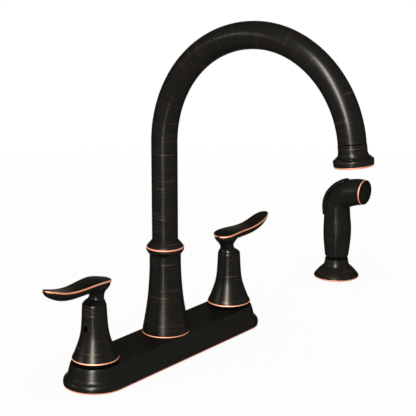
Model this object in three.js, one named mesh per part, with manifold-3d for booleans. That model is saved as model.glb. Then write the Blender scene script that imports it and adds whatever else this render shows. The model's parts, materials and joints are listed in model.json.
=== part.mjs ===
// Two handle kitchen faucet on a long deck plate, with a high arc spout and a side spray.
// Millimetres, +Z up. The origin is on the spout's axis where the deck gasket meets the
// sink deck. +X runs along the plate to the cold side, and the spout points to -Y.

import * as THREE from "three";
import { mergeVertices } from "three/addons/utils/BufferGeometryUtils.js";
import Module from "manifold-3d";

const wasm = await Module();
wasm.setup();

// ---------------------------------------------------------------- driving sizes

const HANDLE_SPACING = 203.2;          // 8 inch centres between the two handles
const SPRAY_OFFSET = 304.8;            // 12 inch from the spout's axis to the side spray
const GAP = 0.3;                       // clearance between neighbouring pieces
const RUNNING = 0.05;                  // radial clearance of a turning fit
const SMOOTH = 24;                     // flats around a turned piece that is seen
const PLAIN = 16;                      // flats around a turned piece that is hidden
const DECK_THICKNESS = 6;              // room left for the sink deck over the fixings

// Deck plate and gasket
const PLATE_TOP = 21.3;
const PLATE_RIM = 0.4;                 // height of the plate's lowest edge over the deck
const PLATE_EDGE_RADIUS = 29.3;        // half the plate's width at that edge
const PLATE_TAPER = 7.8;               // how far the flat top's edge stands in from it
const PLATE_WALL = 2.2;
const PLATE_HOLE = 14.6;               // radius of the three holes in the top
const GASKET_THICKNESS = 1.5;
const GASKET_INSET = 0.5;              // between the gasket's edge and the plate's wall

// Supply shanks and what screws onto them
const SHANK_RADIUS = 10.2;             // half inch pipe thread
const SHANK_LENGTH = 48;
const SHANK_BORE = 6.5;
const SHANK_CHAMFER = 0.8;
const DECK_WASHER_THICKNESS = 2;
const SUPPLY_WASHER_RADIUS = 21;
const NUT_HEX_HEIGHT = 7;
const NUT_RIM_THICKNESS = 2.7;
const SUPPLY_NUT_RIM = 18;
const SUPPLY_NUT_FLATS = 30;           // across the hexagon

// Valve bodies and the tubes between them
const FLANGE_RADIUS = 17;
const FLANGE_THICKNESS = 4.2;
const BODY_RADIUS = 14;
const BODY_TOP = 24;
const NECK_RADIUS = 12.2;              // thread for the bonnet nut
const NECK_TOP = 30;
const POCKET_RADIUS = 9.4;             // bore for the cartridge
const POCKET_FLOOR = 8;
const CROSS_TUBE_HEIGHT = 13;
const CROSS_TUBE_RADIUS = 5;
const CROSS_TUBE_BORE = 3.6;
const CROSS_TUBE_GRIP = 4.4;           // how deep a cross tube sits in the middle body

// Cartridges
const CARTRIDGE_WALL = 1.5;
const CARTRIDGE_RIM = 11.8;
const CARTRIDGE_RIM_THICKNESS = 1.7;
const CARTRIDGE_NOSE = 7;
const CARTRIDGE_TOP = 40;
const DISC_RADIUS = 7.3;
const SEAT_THICKNESS = 2.7;
const TURNING_THICKNESS = 2.6;
const DISC_PORT_OFFSET = 4;
const DISC_PORT = 2.2;
const STEM_RADIUS = 4;
const STEM_FOOT_THICKNESS = 3.6;
const STEM_CHAMFER = 0.6;
const STEM_FLAT = 3.4;                 // from the stem's axis to its drive flat
const BONNET_FLATS = 24.6;
const BONNET_TOP = 34.6;

// Handle hubs and the rings under them
const RING_INSET = 1.1;                // from the hub's foot in to the ring
const RING_THICKNESS = 2.9;
const HUB_FOOT_RADIUS = 21.6;
const HUB_SHOULDER_RADIUS = 11;
const HUB_TOP = 77.5;
const HUB_FOOT_ROUND = 0.5;
const HUB_SHOULDER_ROUND = 0.6;
const HUB_WALL = 2.2;                  // at the foot
const HUB_CAVITY_TOP = 52;
const HUB_CAVITY_RADIUS = 9.2;         // at the cavity's top
const HUB_CROWN = 2.3;                 // metal between the stem and the lever's socket
const SOCKET_DEPTH = 7;
const SPIGOT_RADIUS = 3;
const SET_SCREW_HEIGHT = 55.5;
const SET_SCREW_HOLE = 2.5;
const SET_SCREW_SUNK = 3.4;            // how deep the screw's head is in the hub
const SET_SCREW_KEY = 1.15;            // corner radius of its hexagonal socket
const SET_SCREW_KEY_DEPTH = 2;

// Levers
const LEVER_REACH = 63.9;              // hub's axis to the lever's tip
const LEVER_TAIL = 18.2;               // hub's axis back to the lever's heel
const LEVER_HALF_WIDTH = 11.7;
const LEVER_DEPTH = 9.6;
const LEVER_HEIGHT = 98.1;             // of the copper edge over the hub
const LEVER_TIP_RISE = 6.6;
const LEVER_CROWN = 0.5;               // the top face is very slightly domed
const LEVER_NECK_SIZE = 9.6;           // half width of the neck's foot

// Spout foot, collar and what turns inside
const BASE_FOOT_RADIUS = 22.7;
const BASE_THROAT_RADIUS = 14.9;
const BASE_THROAT_BOTTOM = 92.3;       // where the straight throat begins
const BASE_COVE_BOTTOM = 98.2;         // where the throat starts to flare to the lip
const BASE_LIP_RADIUS = 18.05;
const BASE_TOP = 104.9;
const BASE_FOOT_ROUND = 0.6;
const BASE_WALL = 2.3;                 // at the foot
const BASE_BORE = 12.9;                // for the bushing
const BASE_BORE_BOTTOM = 60.5;
const COLLAR_RADIUS = 17.9;
const COLLAR_BAND = 1;                 // height of the collar's copper band
const COLLAR_STEP = 0.6;               // how far the bell stands in from the band
const COLLAR_TOP = 112.2;
const POST_RADIUS = 7;
const POST_BOTTOM = 30;
const POST_TOP = 112;
const WATERWAY = 4.8;
const CROSSING_RADIUS = 3.8;
const NIPPLE_OFFSET = 10.7;            // the spray hose nipple stands behind the centre
const NIPPLE_RADIUS = 5.2;
const NIPPLE_BORE = 3.2;
const NIPPLE_LENGTH = 32;
const O_RING_SECTION = 0.85;
const GROOVE_HEIGHT = 2.4;
const GROOVE_DEPTH = 1.7;
const LOWER_GROOVE = 62;
const UPPER_GROOVE = 76;
const RETAINER_BOTTOM = 36;
const RETAINER_THICKNESS = 5.4;
const RETAINER_RADIUS = 12;
const SPOUT_STEM_TOP = 118;
const BUSHING_LENGTH = 14.6;

// Spout tube
const TUBE_RADIUS = 12.3;
const TUBE_WALL = 1.6;
const RISER_TOP = 205.3;               // where the straight riser starts to bend
const REAR_BEND = 109.7;               // radius of the rising quarter
const FRONT_BEND = 93.9;               // radius of the falling quarter, a little tighter
const FRONT_BEND_ANGLE = 83;           // degrees, so the outlet leans out by 7

// Outlet
const HOUSING_RADIUS = 12.6;
const HOUSING_NECK = 7.6;              // length of the outlet's straight neck
const HOUSING_BORE = 10.7;
const HOUSING_CONE = 2;                // height of the cone over the aerator's seat
const OUTLET_BAND_RADIUS = 17.5;
const OUTLET_BAND_TOP = 14.4;          // from the tube's end down to the wide band
const OUTLET_LENGTH = 20.1;
const OUTLET_BORE = 15.2;
const OUTLET_BORE_DEPTH = 8.1;
const AERATOR_WASHER_BORE = 8.6;
const AERATOR_WASHER_THICKNESS = 1.6;
const SHELL_WALL = 2.5;
const SHELL_LENGTH = 6;
const SHELL_LIP = 2.8;
const SCREEN_THICKNESS = 1.6;
const SCREEN_HOLE = 1.4;
const SCREEN_HOLE_RING = 8.4;

// Side spray's flange and fixings
const SPRAY_FLANGE_RADIUS = 25;
const SPRAY_FLANGE_RIM = 0.4;          // height of its lowest edge over the deck
const SPRAY_FLANGE_BAND = 1.8;
const SPRAY_SHOULDER_RADIUS = 15;
const SPRAY_SHOULDER_HEIGHT = 12.8;
const GUIDE_NECK_RADIUS = 12.7;
const GUIDE_TOP = 21.3;
const GUIDE_SHANK_RADIUS = 13;
const GUIDE_BORE = 9.6;
const GUIDE_LENGTH = 38;               // below the deck
const GUIDE_CHAMFER = 1;
const SPRAY_GASKET_THICKNESS = 1.2;
const SPRAY_WASHER_RADIUS = 22;
const SPRAY_NUT_RIM = 20;
const SPRAY_NUT_FLATS = 34;

// Side spray's grip, head and trigger
const GRIP_BOTTOM = 24.4;
const GRIP_RADIUS = 15.45;
const HEAD_HEIGHT = 101.5;             // of the spray face's centre
const HEAD_REACH = 34.4;               // grip's axis to the rim of the face
const FACE_RADIUS = 11.5;
const FACE_RECESS = 1.6;
const FACE_THICKNESS = 1.1;
const FACE_HOLE = 0.6;
const OUTER_HOLE_RING = 8.2;
const INNER_HOLE_RING = 4.2;
const TRIGGER_SUNK = 0.4;              // the plate's inner face lies in its pocket
const TRIGGER_PROUD = 1.9;
const TRIGGER_SWELL = 2.2;             // how much prouder it stands over the bend
const TRIGGER_POCKET = 3.7;            // depth of the pocket at its lower end
const TRIGGER_TAIL = 1.5;              // the plate runs this far below the head's bend
const TRIGGER_NOSE = 2;                // and this far over its top
const POCKET_ROOM_BELOW = 2.9;         // the pocket's extra length at each end
const POCKET_ROOM_BEYOND = 0.8;
const TRIGGER_HALF_WIDTH = 7.6;
const POCKET_SIDE_GAP = 0.6;           // between the plate and the pocket's wall
const PIVOT_BACK = 12.5;               // the pin is this far before the grip's axis
const PIVOT_RISE = 2.6;                // and this far over the face's centre
const PIN_RADIUS = 1.25;
const PIN_HALF_LENGTH = 6;
const EAR_WIDTH = 6;
const EAR_LENGTH = 5;
const EAR_HEIGHT = 11;
const HOSE_NIPPLE_RADIUS = 6.2;
const HOSE_NIPPLE_BORE = 3.6;
const HOSE_NIPPLE_DROP = 16;           // below the deck
const CONE_RADIUS = 9.6;
const CONE_BOTTOM = 12;
const CONE_SHOULDER = 16.6;
const SPIGOT_TOP = 33.6;
const HOSE_SPIGOT_RADIUS = 5;
const SPACER_RADIUS = 12;
const SPACER_THICKNESS = 2.4;

// ---------------------------------------------------------------- finishes

const bronze = { color: 0x24211e, roughness: 0.36, metalness: 0.9 };
const blackPlastic = { color: 0x0c0c0c, roughness: 0.6, metalness: 0 };
const rubber = { color: 0x111111, roughness: 0.85, metalness: 0 };
const brass = { color: 0xb08d4a, roughness: 0.4, metalness: 1 };
const steel = { color: 0x9a9a98, roughness: 0.35, metalness: 1 };
const ceramic = { color: 0xe6e2da, roughness: 0.3, metalness: 0 };

// ---------------------------------------------------------------- geometry helpers

// Welds a surface, drops its empty triangles and turns its faces outward.
function closed(geometry) {
  const bare = new THREE.BufferGeometry();
  bare.setAttribute("position", geometry.getAttribute("position").clone());
  if (geometry.index) {
    bare.setIndex(geometry.index.clone());
  }
  const welded = mergeVertices(bare, 1e-4);
  const p = welded.getAttribute("position");
  const from = welded.index.array;
  const keep = [];
  let volume = 0;
  const a = new THREE.Vector3();
  const b = new THREE.Vector3();
  const c = new THREE.Vector3();
  for (let i = 0; i < from.length; i += 3) {
    const [i0, i1, i2] = [from[i], from[i + 1], from[i + 2]];
    if (i0 === i1 || i1 === i2 || i2 === i0) {
      continue;
    }
    a.fromBufferAttribute(p, i0);
    b.fromBufferAttribute(p, i1);
    c.fromBufferAttribute(p, i2);
    volume += a.dot(b.clone().cross(c));
    keep.push(i0, i1, i2);
  }
  if (volume < 0) {
    for (let i = 0; i < keep.length; i += 3) {
      [keep[i], keep[i + 1]] = [keep[i + 1], keep[i]];
    }
  }
  welded.setIndex(keep);
  return welded;
}

// A turned form about Z. The profile is [radius, height] points: it either starts and
// ends on the axis or comes back to its first point.
function turned(profile, segments = PLAIN) {
  const points = profile.map(([r, z]) => new THREE.Vector2(r, z));
  const onAxis = profile[0][0] === 0 && profile[profile.length - 1][0] === 0;
  if (!onAxis) {
    points.push(points[0].clone());
  }
  const geometry = new THREE.LatheGeometry(points, segments);
  geometry.rotateX(Math.PI / 2);
  return closed(geometry);
}

function rod(radius, bottom, top, segments = PLAIN) {
  return turned([[0, bottom], [radius, bottom], [radius, top], [0, top]], segments);
}

function washer(inner, outer, bottom, top, segments = PLAIN) {
  return turned([[inner, bottom], [outer, bottom], [outer, top], [inner, top]], segments);
}

// The corner radius of a bore whose flats clear a shaft that turns in it.
function turningBore(shaftRadius, segments = PLAIN) {
  return (shaftRadius + RUNNING) / Math.cos(Math.PI / segments);
}

// A rod that lies along X or Y.
function lyingRod(axis, radius, from, to, segments = 12) {
  const geometry = rod(radius, from, to, segments);
  return axis === "x" ? geometry.rotateY(Math.PI / 2) : geometry.rotateX(-Math.PI / 2);
}

// A skin through loops of points. An open loft is closed at both ends by a fan, and a
// ring loft joins its last loop to its first.
function loft(loops, isRing = false) {
  const count = loops[0].length;
  const positions = [];
  const index = [];
  for (const loop of loops) {
    for (const point of loop) {
      positions.push(point.x, point.y, point.z);
    }
  }
  const spans = isRing ? loops.length : loops.length - 1;
  for (let i = 0; i < spans; i += 1) {
    const low = i * count;
    const high = ((i + 1) % loops.length) * count;
    for (let j = 0; j < count; j += 1) {
      const k = (j + 1) % count;
      index.push(low + j, low + k, high + k);
      index.push(low + j, high + k, high + j);
    }
  }
  if (!isRing) {
    for (const [start, flip] of [[0, true], [(loops.length - 1) * count, false]]) {
      const centre = new THREE.Vector3();
      for (const point of loops[start / count]) {
        centre.addScaledVector(point, 1 / count);
      }
      const middle = positions.length / 3;
      positions.push(centre.x, centre.y, centre.z);
      for (let j = 0; j < count; j += 1) {
        const k = (j + 1) % count;
        const pair = flip ? [start + k, start + j] : [start + j, start + k];
        index.push(pair[0], pair[1], middle);
      }
    }
  }
  const geometry = new THREE.BufferGeometry();
  geometry.setAttribute("position", new THREE.Float32BufferAttribute(positions, 3));
  geometry.setIndex(index);
  return closed(geometry);
}

// A flat outline with round holes, raised from one height to another.
function prism(outline, holes, bottom, top, holeSides = PLAIN) {
  const shape = new THREE.Shape(outline.map(([x, y]) => new THREE.Vector2(x, y)));
  for (const [x, y, radius] of holes) {
    const hole = new THREE.Path();
    hole.absarc(x, y, radius, 0, 2 * Math.PI, true);
    shape.holes.push(hole);
  }
  const depth = top - bottom;
  const settings = { depth, bevelEnabled: false, curveSegments: holeSides };
  const geometry = new THREE.ExtrudeGeometry(shape, settings);
  geometry.translate(0, 0, bottom);
  return closed(geometry);
}

function hexagon(acrossFlats) {
  const radius = acrossFlats / Math.sqrt(3);
  const corners = [];
  for (let i = 0; i < 6; i += 1) {
    const angle = (i + 0.5) * Math.PI / 3;
    corners.push([radius * Math.cos(angle), radius * Math.sin(angle)]);
  }
  return corners;
}

function circle(radius, count = SMOOTH) {
  const points = [];
  for (let i = 0; i < count; i += 1) {
    const angle = 2 * Math.PI * i / count;
    points.push([radius * Math.cos(angle), radius * Math.sin(angle)]);
  }
  return points;
}

function asSolid(geometry) {
  const p = geometry.getAttribute("position");
  return new wasm.Manifold(new wasm.Mesh({
    numProp: 3,
    vertProperties: new Float32Array(p.array),
    triVerts: new Uint32Array(geometry.index.array),
  }));
}

function asGeometry(solid) {
  const mesh = solid.getMesh();
  const geometry = new THREE.BufferGeometry();
  const positions = new Float32Array(mesh.vertProperties);
  geometry.setAttribute("position", new THREE.BufferAttribute(positions, 3));
  geometry.setIndex([...mesh.triVerts]);
  return closed(geometry);
}

function joined(first, ...others) {
  let solid = asSolid(first);
  for (const other of others) {
    solid = solid.add(asSolid(other));
  }
  return asGeometry(solid);
}

function cut(first, ...tools) {
  let solid = asSolid(first);
  for (const tool of tools) {
    solid = solid.subtract(asSolid(tool));
  }
  return asGeometry(solid);
}

function piece(name, geometry, finish) {
  const flat = geometry.toNonIndexed();
  flat.computeVertexNormals();
  const mesh = new THREE.Mesh(flat, new THREE.MeshStandardMaterial({ ...finish }));
  mesh.name = name;
  return mesh;
}

// Points of a flare: each row is a share of the height and a share of the way from the
// inner radius out to the outer one.
function flare(shares, inner, outer, bottom, top) {
  return shares.map(([rise, spread]) => {
    return [inner + (outer - inner) * spread, bottom + (top - bottom) * rise];
  });
}

function groupAt(x, y, z, ...children) {
  const group = new THREE.Group();
  group.position.set(x, y, z);
  group.add(...children);
  return group;
}

// ---------------------------------------------------------------- deck plate

const END = HANDLE_SPACING / 2;

// The outline of a strip with round ends, at one distance from its centre line.
function stadium(distance, height, perEnd = SMOOTH / 2) {
  const loop = [];
  for (const side of [1, -1]) {
    for (let i = 0; i <= perEnd; i += 1) {
      const angle = Math.PI * (i / perEnd - 0.5);
      const x = side * (END + distance * Math.cos(angle));
      loop.push(new THREE.Vector3(x, side * distance * Math.sin(angle), height));
    }
  }
  return loop;
}

// Up the plate's outer skin, as shares of its taper and height: an upright band, a
// rounded step, a hollow and then a long slope up to the flat top.
const PLATE_SKIN = [
  [0, 0],
  [0.051, 0.075],
  [0.064, 0.17],
  [0.013, 0.255],
  [-0.115, 0.325],
  [-0.295, 0.387],
  [-0.449, 0.453],
  [-0.526, 0.528],
  [-0.641, 0.689],
  [-0.756, 0.849],
  [-0.833, 0.948],
  [-0.897, 0.986],
  [-1, 1],
];

function plateForm(inset, top) {
  return PLATE_SKIN.map(([out, up], i) => {
    const isTop = i === PLATE_SKIN.length - 1;
    const height = PLATE_RIM + up * (PLATE_TOP - PLATE_RIM);
    const limit = top - (isTop ? 0 : PLATE_RIM);
    const distance = PLATE_EDGE_RADIUS + out * PLATE_TAPER - inset;
    return stadium(distance, isTop ? top : Math.min(height, limit));
  });
}

function deckPlate() {
  const outside = loft(plateForm(0, PLATE_TOP));
  const hollow = plateForm(PLATE_WALL, PLATE_TOP - PLATE_WALL);
  const below = hollow[0].map((point) => point.clone().setZ(0));
  const inside = loft([below, ...hollow.slice(1)]);
  const holes = [-END, 0, END].map((x) => {
    const hole = rod(PLATE_HOLE, PLATE_TOP - 2 * PLATE_WALL, PLATE_TOP + PLATE_WALL);
    return hole.translate(x, 0, 0);
  });
  return cut(outside, inside, ...holes);
}

function deckGasket() {
  const edge = PLATE_EDGE_RADIUS - PLATE_WALL - GASKET_INSET;
  const outline = stadium(edge, 0).map((p) => [p.x, p.y]);
  const hole = SHANK_RADIUS + 2 * GAP;
  const holes = [
    [-END, 0, hole],
    [END, 0, hole],
    [0, NIPPLE_OFFSET, NIPPLE_RADIUS + 2 * GAP],
  ];
  return prism(outline, holes, 0, GASKET_THICKNESS);
}

// ---------------------------------------------------------------- valves

const FLANGE_BOTTOM = GASKET_THICKNESS + GAP;
const FLANGE_TOP = FLANGE_BOTTOM + FLANGE_THICKNESS;
const SOCKET_RADIUS = CROSS_TUBE_RADIUS + GAP;

function valveBody() {
  const body = turned([
    [SHANK_BORE, -SHANK_LENGTH],
    [SHANK_RADIUS - SHANK_CHAMFER, -SHANK_LENGTH],
    [SHANK_RADIUS, SHANK_CHAMFER - SHANK_LENGTH],
    [SHANK_RADIUS, FLANGE_BOTTOM],
    [FLANGE_RADIUS, FLANGE_BOTTOM],
    [FLANGE_RADIUS, FLANGE_TOP],
    [BODY_RADIUS, FLANGE_TOP],
    [BODY_RADIUS, BODY_TOP],
    [NECK_RADIUS, BODY_TOP],
    [NECK_RADIUS, NECK_TOP],
    [POCKET_RADIUS, NECK_TOP],
    [POCKET_RADIUS, POCKET_FLOOR],
    [SHANK_BORE, POCKET_FLOOR],
  ]);
  const port = lyingRod("x", SOCKET_RADIUS, -FLANGE_RADIUS, 1 - POCKET_RADIUS);
  return cut(body, port.translate(0, 0, CROSS_TUBE_HEIGHT));
}

// Heights inside the cartridge, each a gap above the one before it.
const CARTRIDGE_FOOT = POCKET_FLOOR + GAP;
const SEAT_BOTTOM = CARTRIDGE_FOOT + GAP;
const SEAT_TOP = SEAT_BOTTOM + SEAT_THICKNESS;
const TURNING_BOTTOM = SEAT_TOP + GAP;
const TURNING_TOP = TURNING_BOTTOM + TURNING_THICKNESS;
const STEM_FOOT = TURNING_TOP + GAP;
const STEM_FOOT_TOP = STEM_FOOT + STEM_FOOT_THICKNESS;
const STEM_CEILING = STEM_FOOT_TOP + GAP;
const CARTRIDGE_RADIUS = POCKET_RADIUS - GAP;
const CARTRIDGE_BORE = CARTRIDGE_RADIUS - CARTRIDGE_WALL;
const CARTRIDGE_SHOULDER = NECK_TOP + GAP + CARTRIDGE_RIM_THICKNESS;

function cartridge() {
  return turned([
    [CARTRIDGE_BORE, CARTRIDGE_FOOT],
    [CARTRIDGE_RADIUS, CARTRIDGE_FOOT],
    [CARTRIDGE_RADIUS, NECK_TOP + GAP],
    [CARTRIDGE_RIM, NECK_TOP + GAP],
    [CARTRIDGE_RIM, CARTRIDGE_SHOULDER],
    [CARTRIDGE_NOSE, CARTRIDGE_SHOULDER],
    [CARTRIDGE_NOSE, CARTRIDGE_TOP],
    [turningBore(STEM_RADIUS), CARTRIDGE_TOP],
    [turningBore(STEM_RADIUS), STEM_CEILING],
    [CARTRIDGE_BORE, STEM_CEILING],
  ]);
}

function discWithPorts(bottom, top, angle) {
  const x = DISC_PORT_OFFSET * Math.cos(angle);
  const y = DISC_PORT_OFFSET * Math.sin(angle);
  const ports = [[x, y, DISC_PORT], [-x, -y, DISC_PORT]];
  return prism(circle(DISC_RADIUS, PLAIN), ports, bottom, top, 8);
}

const STEM_SOCKET_TOP = HUB_TOP - SOCKET_DEPTH - HUB_CROWN;
const STEM_TOP = STEM_SOCKET_TOP - 2 * STEM_CHAMFER - GAP;

function cartridgeStem() {
  const foot = DISC_RADIUS - 0.1;
  const stem = turned([
    [0, STEM_FOOT],
    [foot, STEM_FOOT],
    [foot, STEM_FOOT_TOP],
    [STEM_RADIUS, STEM_FOOT_TOP],
    [STEM_RADIUS, STEM_TOP - STEM_CHAMFER],
    [STEM_RADIUS - STEM_CHAMFER, STEM_TOP],
    [0, STEM_TOP],
  ]);
  const bottom = SET_SCREW_HEIGHT - 2 * SET_SCREW_HOLE;
  const height = STEM_TOP + GAP - bottom;
  const flat = new THREE.BoxGeometry(STEM_RADIUS, 3 * STEM_RADIUS, height);
  flat.translate(STEM_FLAT + STEM_RADIUS / 2, 0, bottom + height / 2);
  return cut(stem, closed(flat));
}

function hexNut(acrossFlats, bore, bottom, top) {
  return prism(hexagon(acrossFlats), [[0, 0, bore]], bottom, top);
}

// The plate, the ring and the hub stand on each other with a gap between.
const RING_BOTTOM = PLATE_TOP + GAP;
const RING_TOP = RING_BOTTOM + RING_THICKNESS;
const RING_RADIUS = HUB_FOOT_RADIUS - RING_INSET;
const HUB_BOTTOM = RING_TOP + GAP;

function bonnetNut() {
  const bore = CARTRIDGE_NOSE + GAP;
  const blank = hexNut(BONNET_FLATS, bore, BODY_TOP + GAP, BONNET_TOP);
  const thread = rod(NECK_RADIUS + GAP, BODY_TOP, CARTRIDGE_SHOULDER + GAP);
  return cut(blank, thread);
}

function baseRing() {
  return washer(BODY_RADIUS + GAP, RING_RADIUS, RING_BOTTOM, RING_TOP, SMOOTH);
}

// ---------------------------------------------------------------- handles

// The hub's concave side and the cavity in it, from the foot up, as shares.
const HUB_FLARE = [
  [0, 1],
  [0.068, 0.84],
  [0.159, 0.651],
  [0.245, 0.491],
  [0.335, 0.358],
  [0.476, 0.198],
  [0.627, 0.104],
  [0.787, 0.057],
  [1, 0],
];
const HUB_CAVITY = [
  [1, 0],
  [0.738, 0.216],
  [0.382, 0.588],
  [0, 1],
];

function hub() {
  const round = HUB_SHOULDER_ROUND;
  const shoulder = HUB_TOP - 3 * round;
  const bore = STEM_RADIUS + GAP;
  const socket = SPIGOT_RADIUS + GAP;
  const mouth = HUB_FOOT_RADIUS - HUB_WALL;
  const start = HUB_BOTTOM + HUB_FOOT_ROUND;
  const body = turned([
    [0, STEM_SOCKET_TOP],
    [bore, STEM_SOCKET_TOP],
    [bore, HUB_CAVITY_TOP],
    ...flare(HUB_CAVITY, HUB_CAVITY_RADIUS, mouth, HUB_BOTTOM, HUB_CAVITY_TOP),
    [HUB_FOOT_RADIUS - HUB_FOOT_ROUND, HUB_BOTTOM],
    ...flare(HUB_FLARE, HUB_SHOULDER_RADIUS, HUB_FOOT_RADIUS, start, shoulder),
    [HUB_SHOULDER_RADIUS - round, HUB_TOP - round],
    [HUB_SHOULDER_RADIUS - 2.5 * round, HUB_TOP],
    [socket, HUB_TOP],
    [socket, HUB_TOP - SOCKET_DEPTH],
    [0, HUB_TOP - SOCKET_DEPTH],
  ], SMOOTH);
  const hole = lyingRod("x", SET_SCREW_HOLE, STEM_RADIUS / 2, HUB_FOOT_RADIUS);
  return cut(body, hole.translate(0, 0, SET_SCREW_HEIGHT));
}

// How far the hub's side is from its axis at the height of the set screw.
function hubRadiusAt(height) {
  const start = HUB_BOTTOM + HUB_FOOT_ROUND;
  const shoulder = HUB_TOP - 3 * HUB_SHOULDER_ROUND;
  const rows = flare(HUB_FLARE, HUB_SHOULDER_RADIUS, HUB_FOOT_RADIUS, start, shoulder);
  for (let i = 1; i < rows.length; i += 1) {
    const [lowRadius, low] = rows[i - 1];
    const [highRadius, high] = rows[i];
    if (height <= high) {
      return lowRadius + (highRadius - lowRadius) * (height - low) / (high - low);
    }
  }
  return HUB_SHOULDER_RADIUS;
}

function setScrew() {
  const outer = hubRadiusAt(SET_SCREW_HEIGHT) - SET_SCREW_SUNK;
  const blank = lyingRod("x", SET_SCREW_HOLE - GAP, STEM_FLAT + GAP, outer);
  const depth = 2 * SET_SCREW_KEY_DEPTH;
  const key = new THREE.CylinderGeometry(SET_SCREW_KEY, SET_SCREW_KEY, depth, 6);
  const socket = closed(key.rotateZ(Math.PI / 2)).translate(outer, 0, 0);
  return cut(blank, socket).translate(0, 0, SET_SCREW_HEIGHT);
}

// Stations along the lever from heel to tip, as shares: of the tail or the reach, of
// the half width, of the tip's rise and of the depth of the rounded underside.
const LEVER_STATIONS = [
  [-1, 0.068, -0.273, 0.083],
  [-0.945, 0.393, -0.258, 0.292],
  [-0.824, 0.684, -0.212, 0.479],
  [-0.659, 0.872, -0.152, 0.625],
  [-0.412, 0.983, -0.061, 0.792],
  [-0.11, 1, 0, 0.917],
  [0.078, 0.957, 0, 0.99],
  [0.185, 0.906, -0.03, 1],
  [0.305, 0.846, -0.091, 0.969],
  [0.425, 0.795, -0.106, 0.958],
  [0.546, 0.769, -0.03, 0.969],
  [0.665, 0.761, 0.152, 0.958],
  [0.766, 0.735, 0.379, 0.917],
  [0.852, 0.658, 0.636, 0.823],
  [0.923, 0.521, 0.833, 0.688],
  [0.974, 0.333, 0.955, 0.479],
  [1, 0.068, 1, 0.104],
];

// Stations up the lever's neck, as shares: of its height, and of the neck's size for its
// centre, half length and half width.
const NECK_STATIONS = [
  [0, -0.052, 1.021, 1.063],
  [0.059, -0.125, 0.896, 0.948],
  [0.133, -0.25, 0.74, 0.813],
  [0.207, -0.323, 0.708, 0.74],
  [0.305, -0.375, 0.771, 0.688],
  [0.404, -0.396, 0.865, 0.719],
  [0.502, -0.417, 1, 0.844],
  [0.601, -0.448, 1.177, 1],
  [0.7, -0.458, 1.313, 1.135],
  [0.788, -0.448, 1.375, 1.177],
  [0.867, -0.438, 1.385, 1.167],
];

function leverLoop([alongShare, widthShare, riseShare, depthShare]) {
  const along = alongShare * (alongShare < 0 ? LEVER_TAIL : LEVER_REACH);
  const half = widthShare * LEVER_HALF_WIDTH;
  const rim = LEVER_HEIGHT + riseShare * LEVER_TIP_RISE;
  const depth = depthShare * LEVER_DEPTH;
  const loop = [];
  const over = 4;
  const under = 8;
  for (let i = 0; i < over; i += 1) {
    const across = 1 - 2 * i / over;
    const crown = LEVER_CROWN * (1 - across * across) * Math.min(1, 2 * widthShare);
    loop.push(new THREE.Vector3(along, half * across, rim + crown));
  }
  for (let i = 0; i < under; i += 1) {
    const angle = Math.PI * i / under;
    const y = -half * Math.cos(angle);
    loop.push(new THREE.Vector3(along, y, rim - depth * Math.sin(angle)));
  }
  return loop;
}

const LEVER_NECK_FOOT = HUB_TOP + GAP;

function neckLoop([rise, centre, length, width]) {
  const height = LEVER_NECK_FOOT + rise * (LEVER_HEIGHT - LEVER_NECK_FOOT);
  return circle(LEVER_NECK_SIZE, PLAIN).map(([x, y]) => {
    return new THREE.Vector3(centre * LEVER_NECK_SIZE + length * x, width * y, height);
  });
}

function lever() {
  const paddle = loft(LEVER_STATIONS.map(leverLoop));
  const neck = loft(NECK_STATIONS.map(neckLoop));
  const bottom = HUB_TOP - SOCKET_DEPTH + 2 * GAP;
  const spigot = rod(SPIGOT_RADIUS, bottom, LEVER_NECK_FOOT + 1);
  return joined(paddle, neck, spigot);
}

// ---------------------------------------------------------------- spout

const BASE_BOTTOM = PLATE_TOP + GAP;

// The trumpet's side from its wide rim to its straight throat, the cove above the
// throat, and the hollow inside, as shares.
const BASE_FLARE = [
  [0, 1],
  [0.09, 0.859],
  [0.199, 0.679],
  [0.314, 0.5],
  [0.437, 0.333],
  [0.58, 0.192],
  [0.774, 0.064],
  [1, 0],
];
const BASE_COVE = [
  [0, 0],
  [0.16, 0.08],
  [0.5, 0.52],
  [0.8, 0.9],
  [1, 1],
];
const BASE_HOLLOW = [
  [1, 0],
  [0.52, 0.467],
  [0, 1],
];
const BASE_LIP_BAND = 1;               // height of the upright edge over the cove

function spoutBase() {
  const start = BASE_BOTTOM + BASE_FOOT_ROUND;
  const lip = BASE_TOP - BASE_LIP_BAND;
  const mouth = BASE_FOOT_RADIUS - BASE_WALL;
  return turned([
    [BASE_FOOT_RADIUS - BASE_FOOT_ROUND, BASE_BOTTOM],
    ...flare(BASE_FLARE, BASE_THROAT_RADIUS, BASE_FOOT_RADIUS, start, BASE_THROAT_BOTTOM),
    ...flare(BASE_COVE, BASE_THROAT_RADIUS, BASE_LIP_RADIUS, BASE_COVE_BOTTOM, lip),
    [BASE_LIP_RADIUS, BASE_TOP - BASE_LIP_BAND / 2],
    [BASE_LIP_RADIUS - BASE_LIP_BAND / 2, BASE_TOP],
    [BASE_BORE, BASE_TOP],
    ...flare(BASE_HOLLOW, BASE_BORE, mouth, BASE_BOTTOM, BASE_BORE_BOTTOM),
  ], SMOOTH);
}

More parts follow.
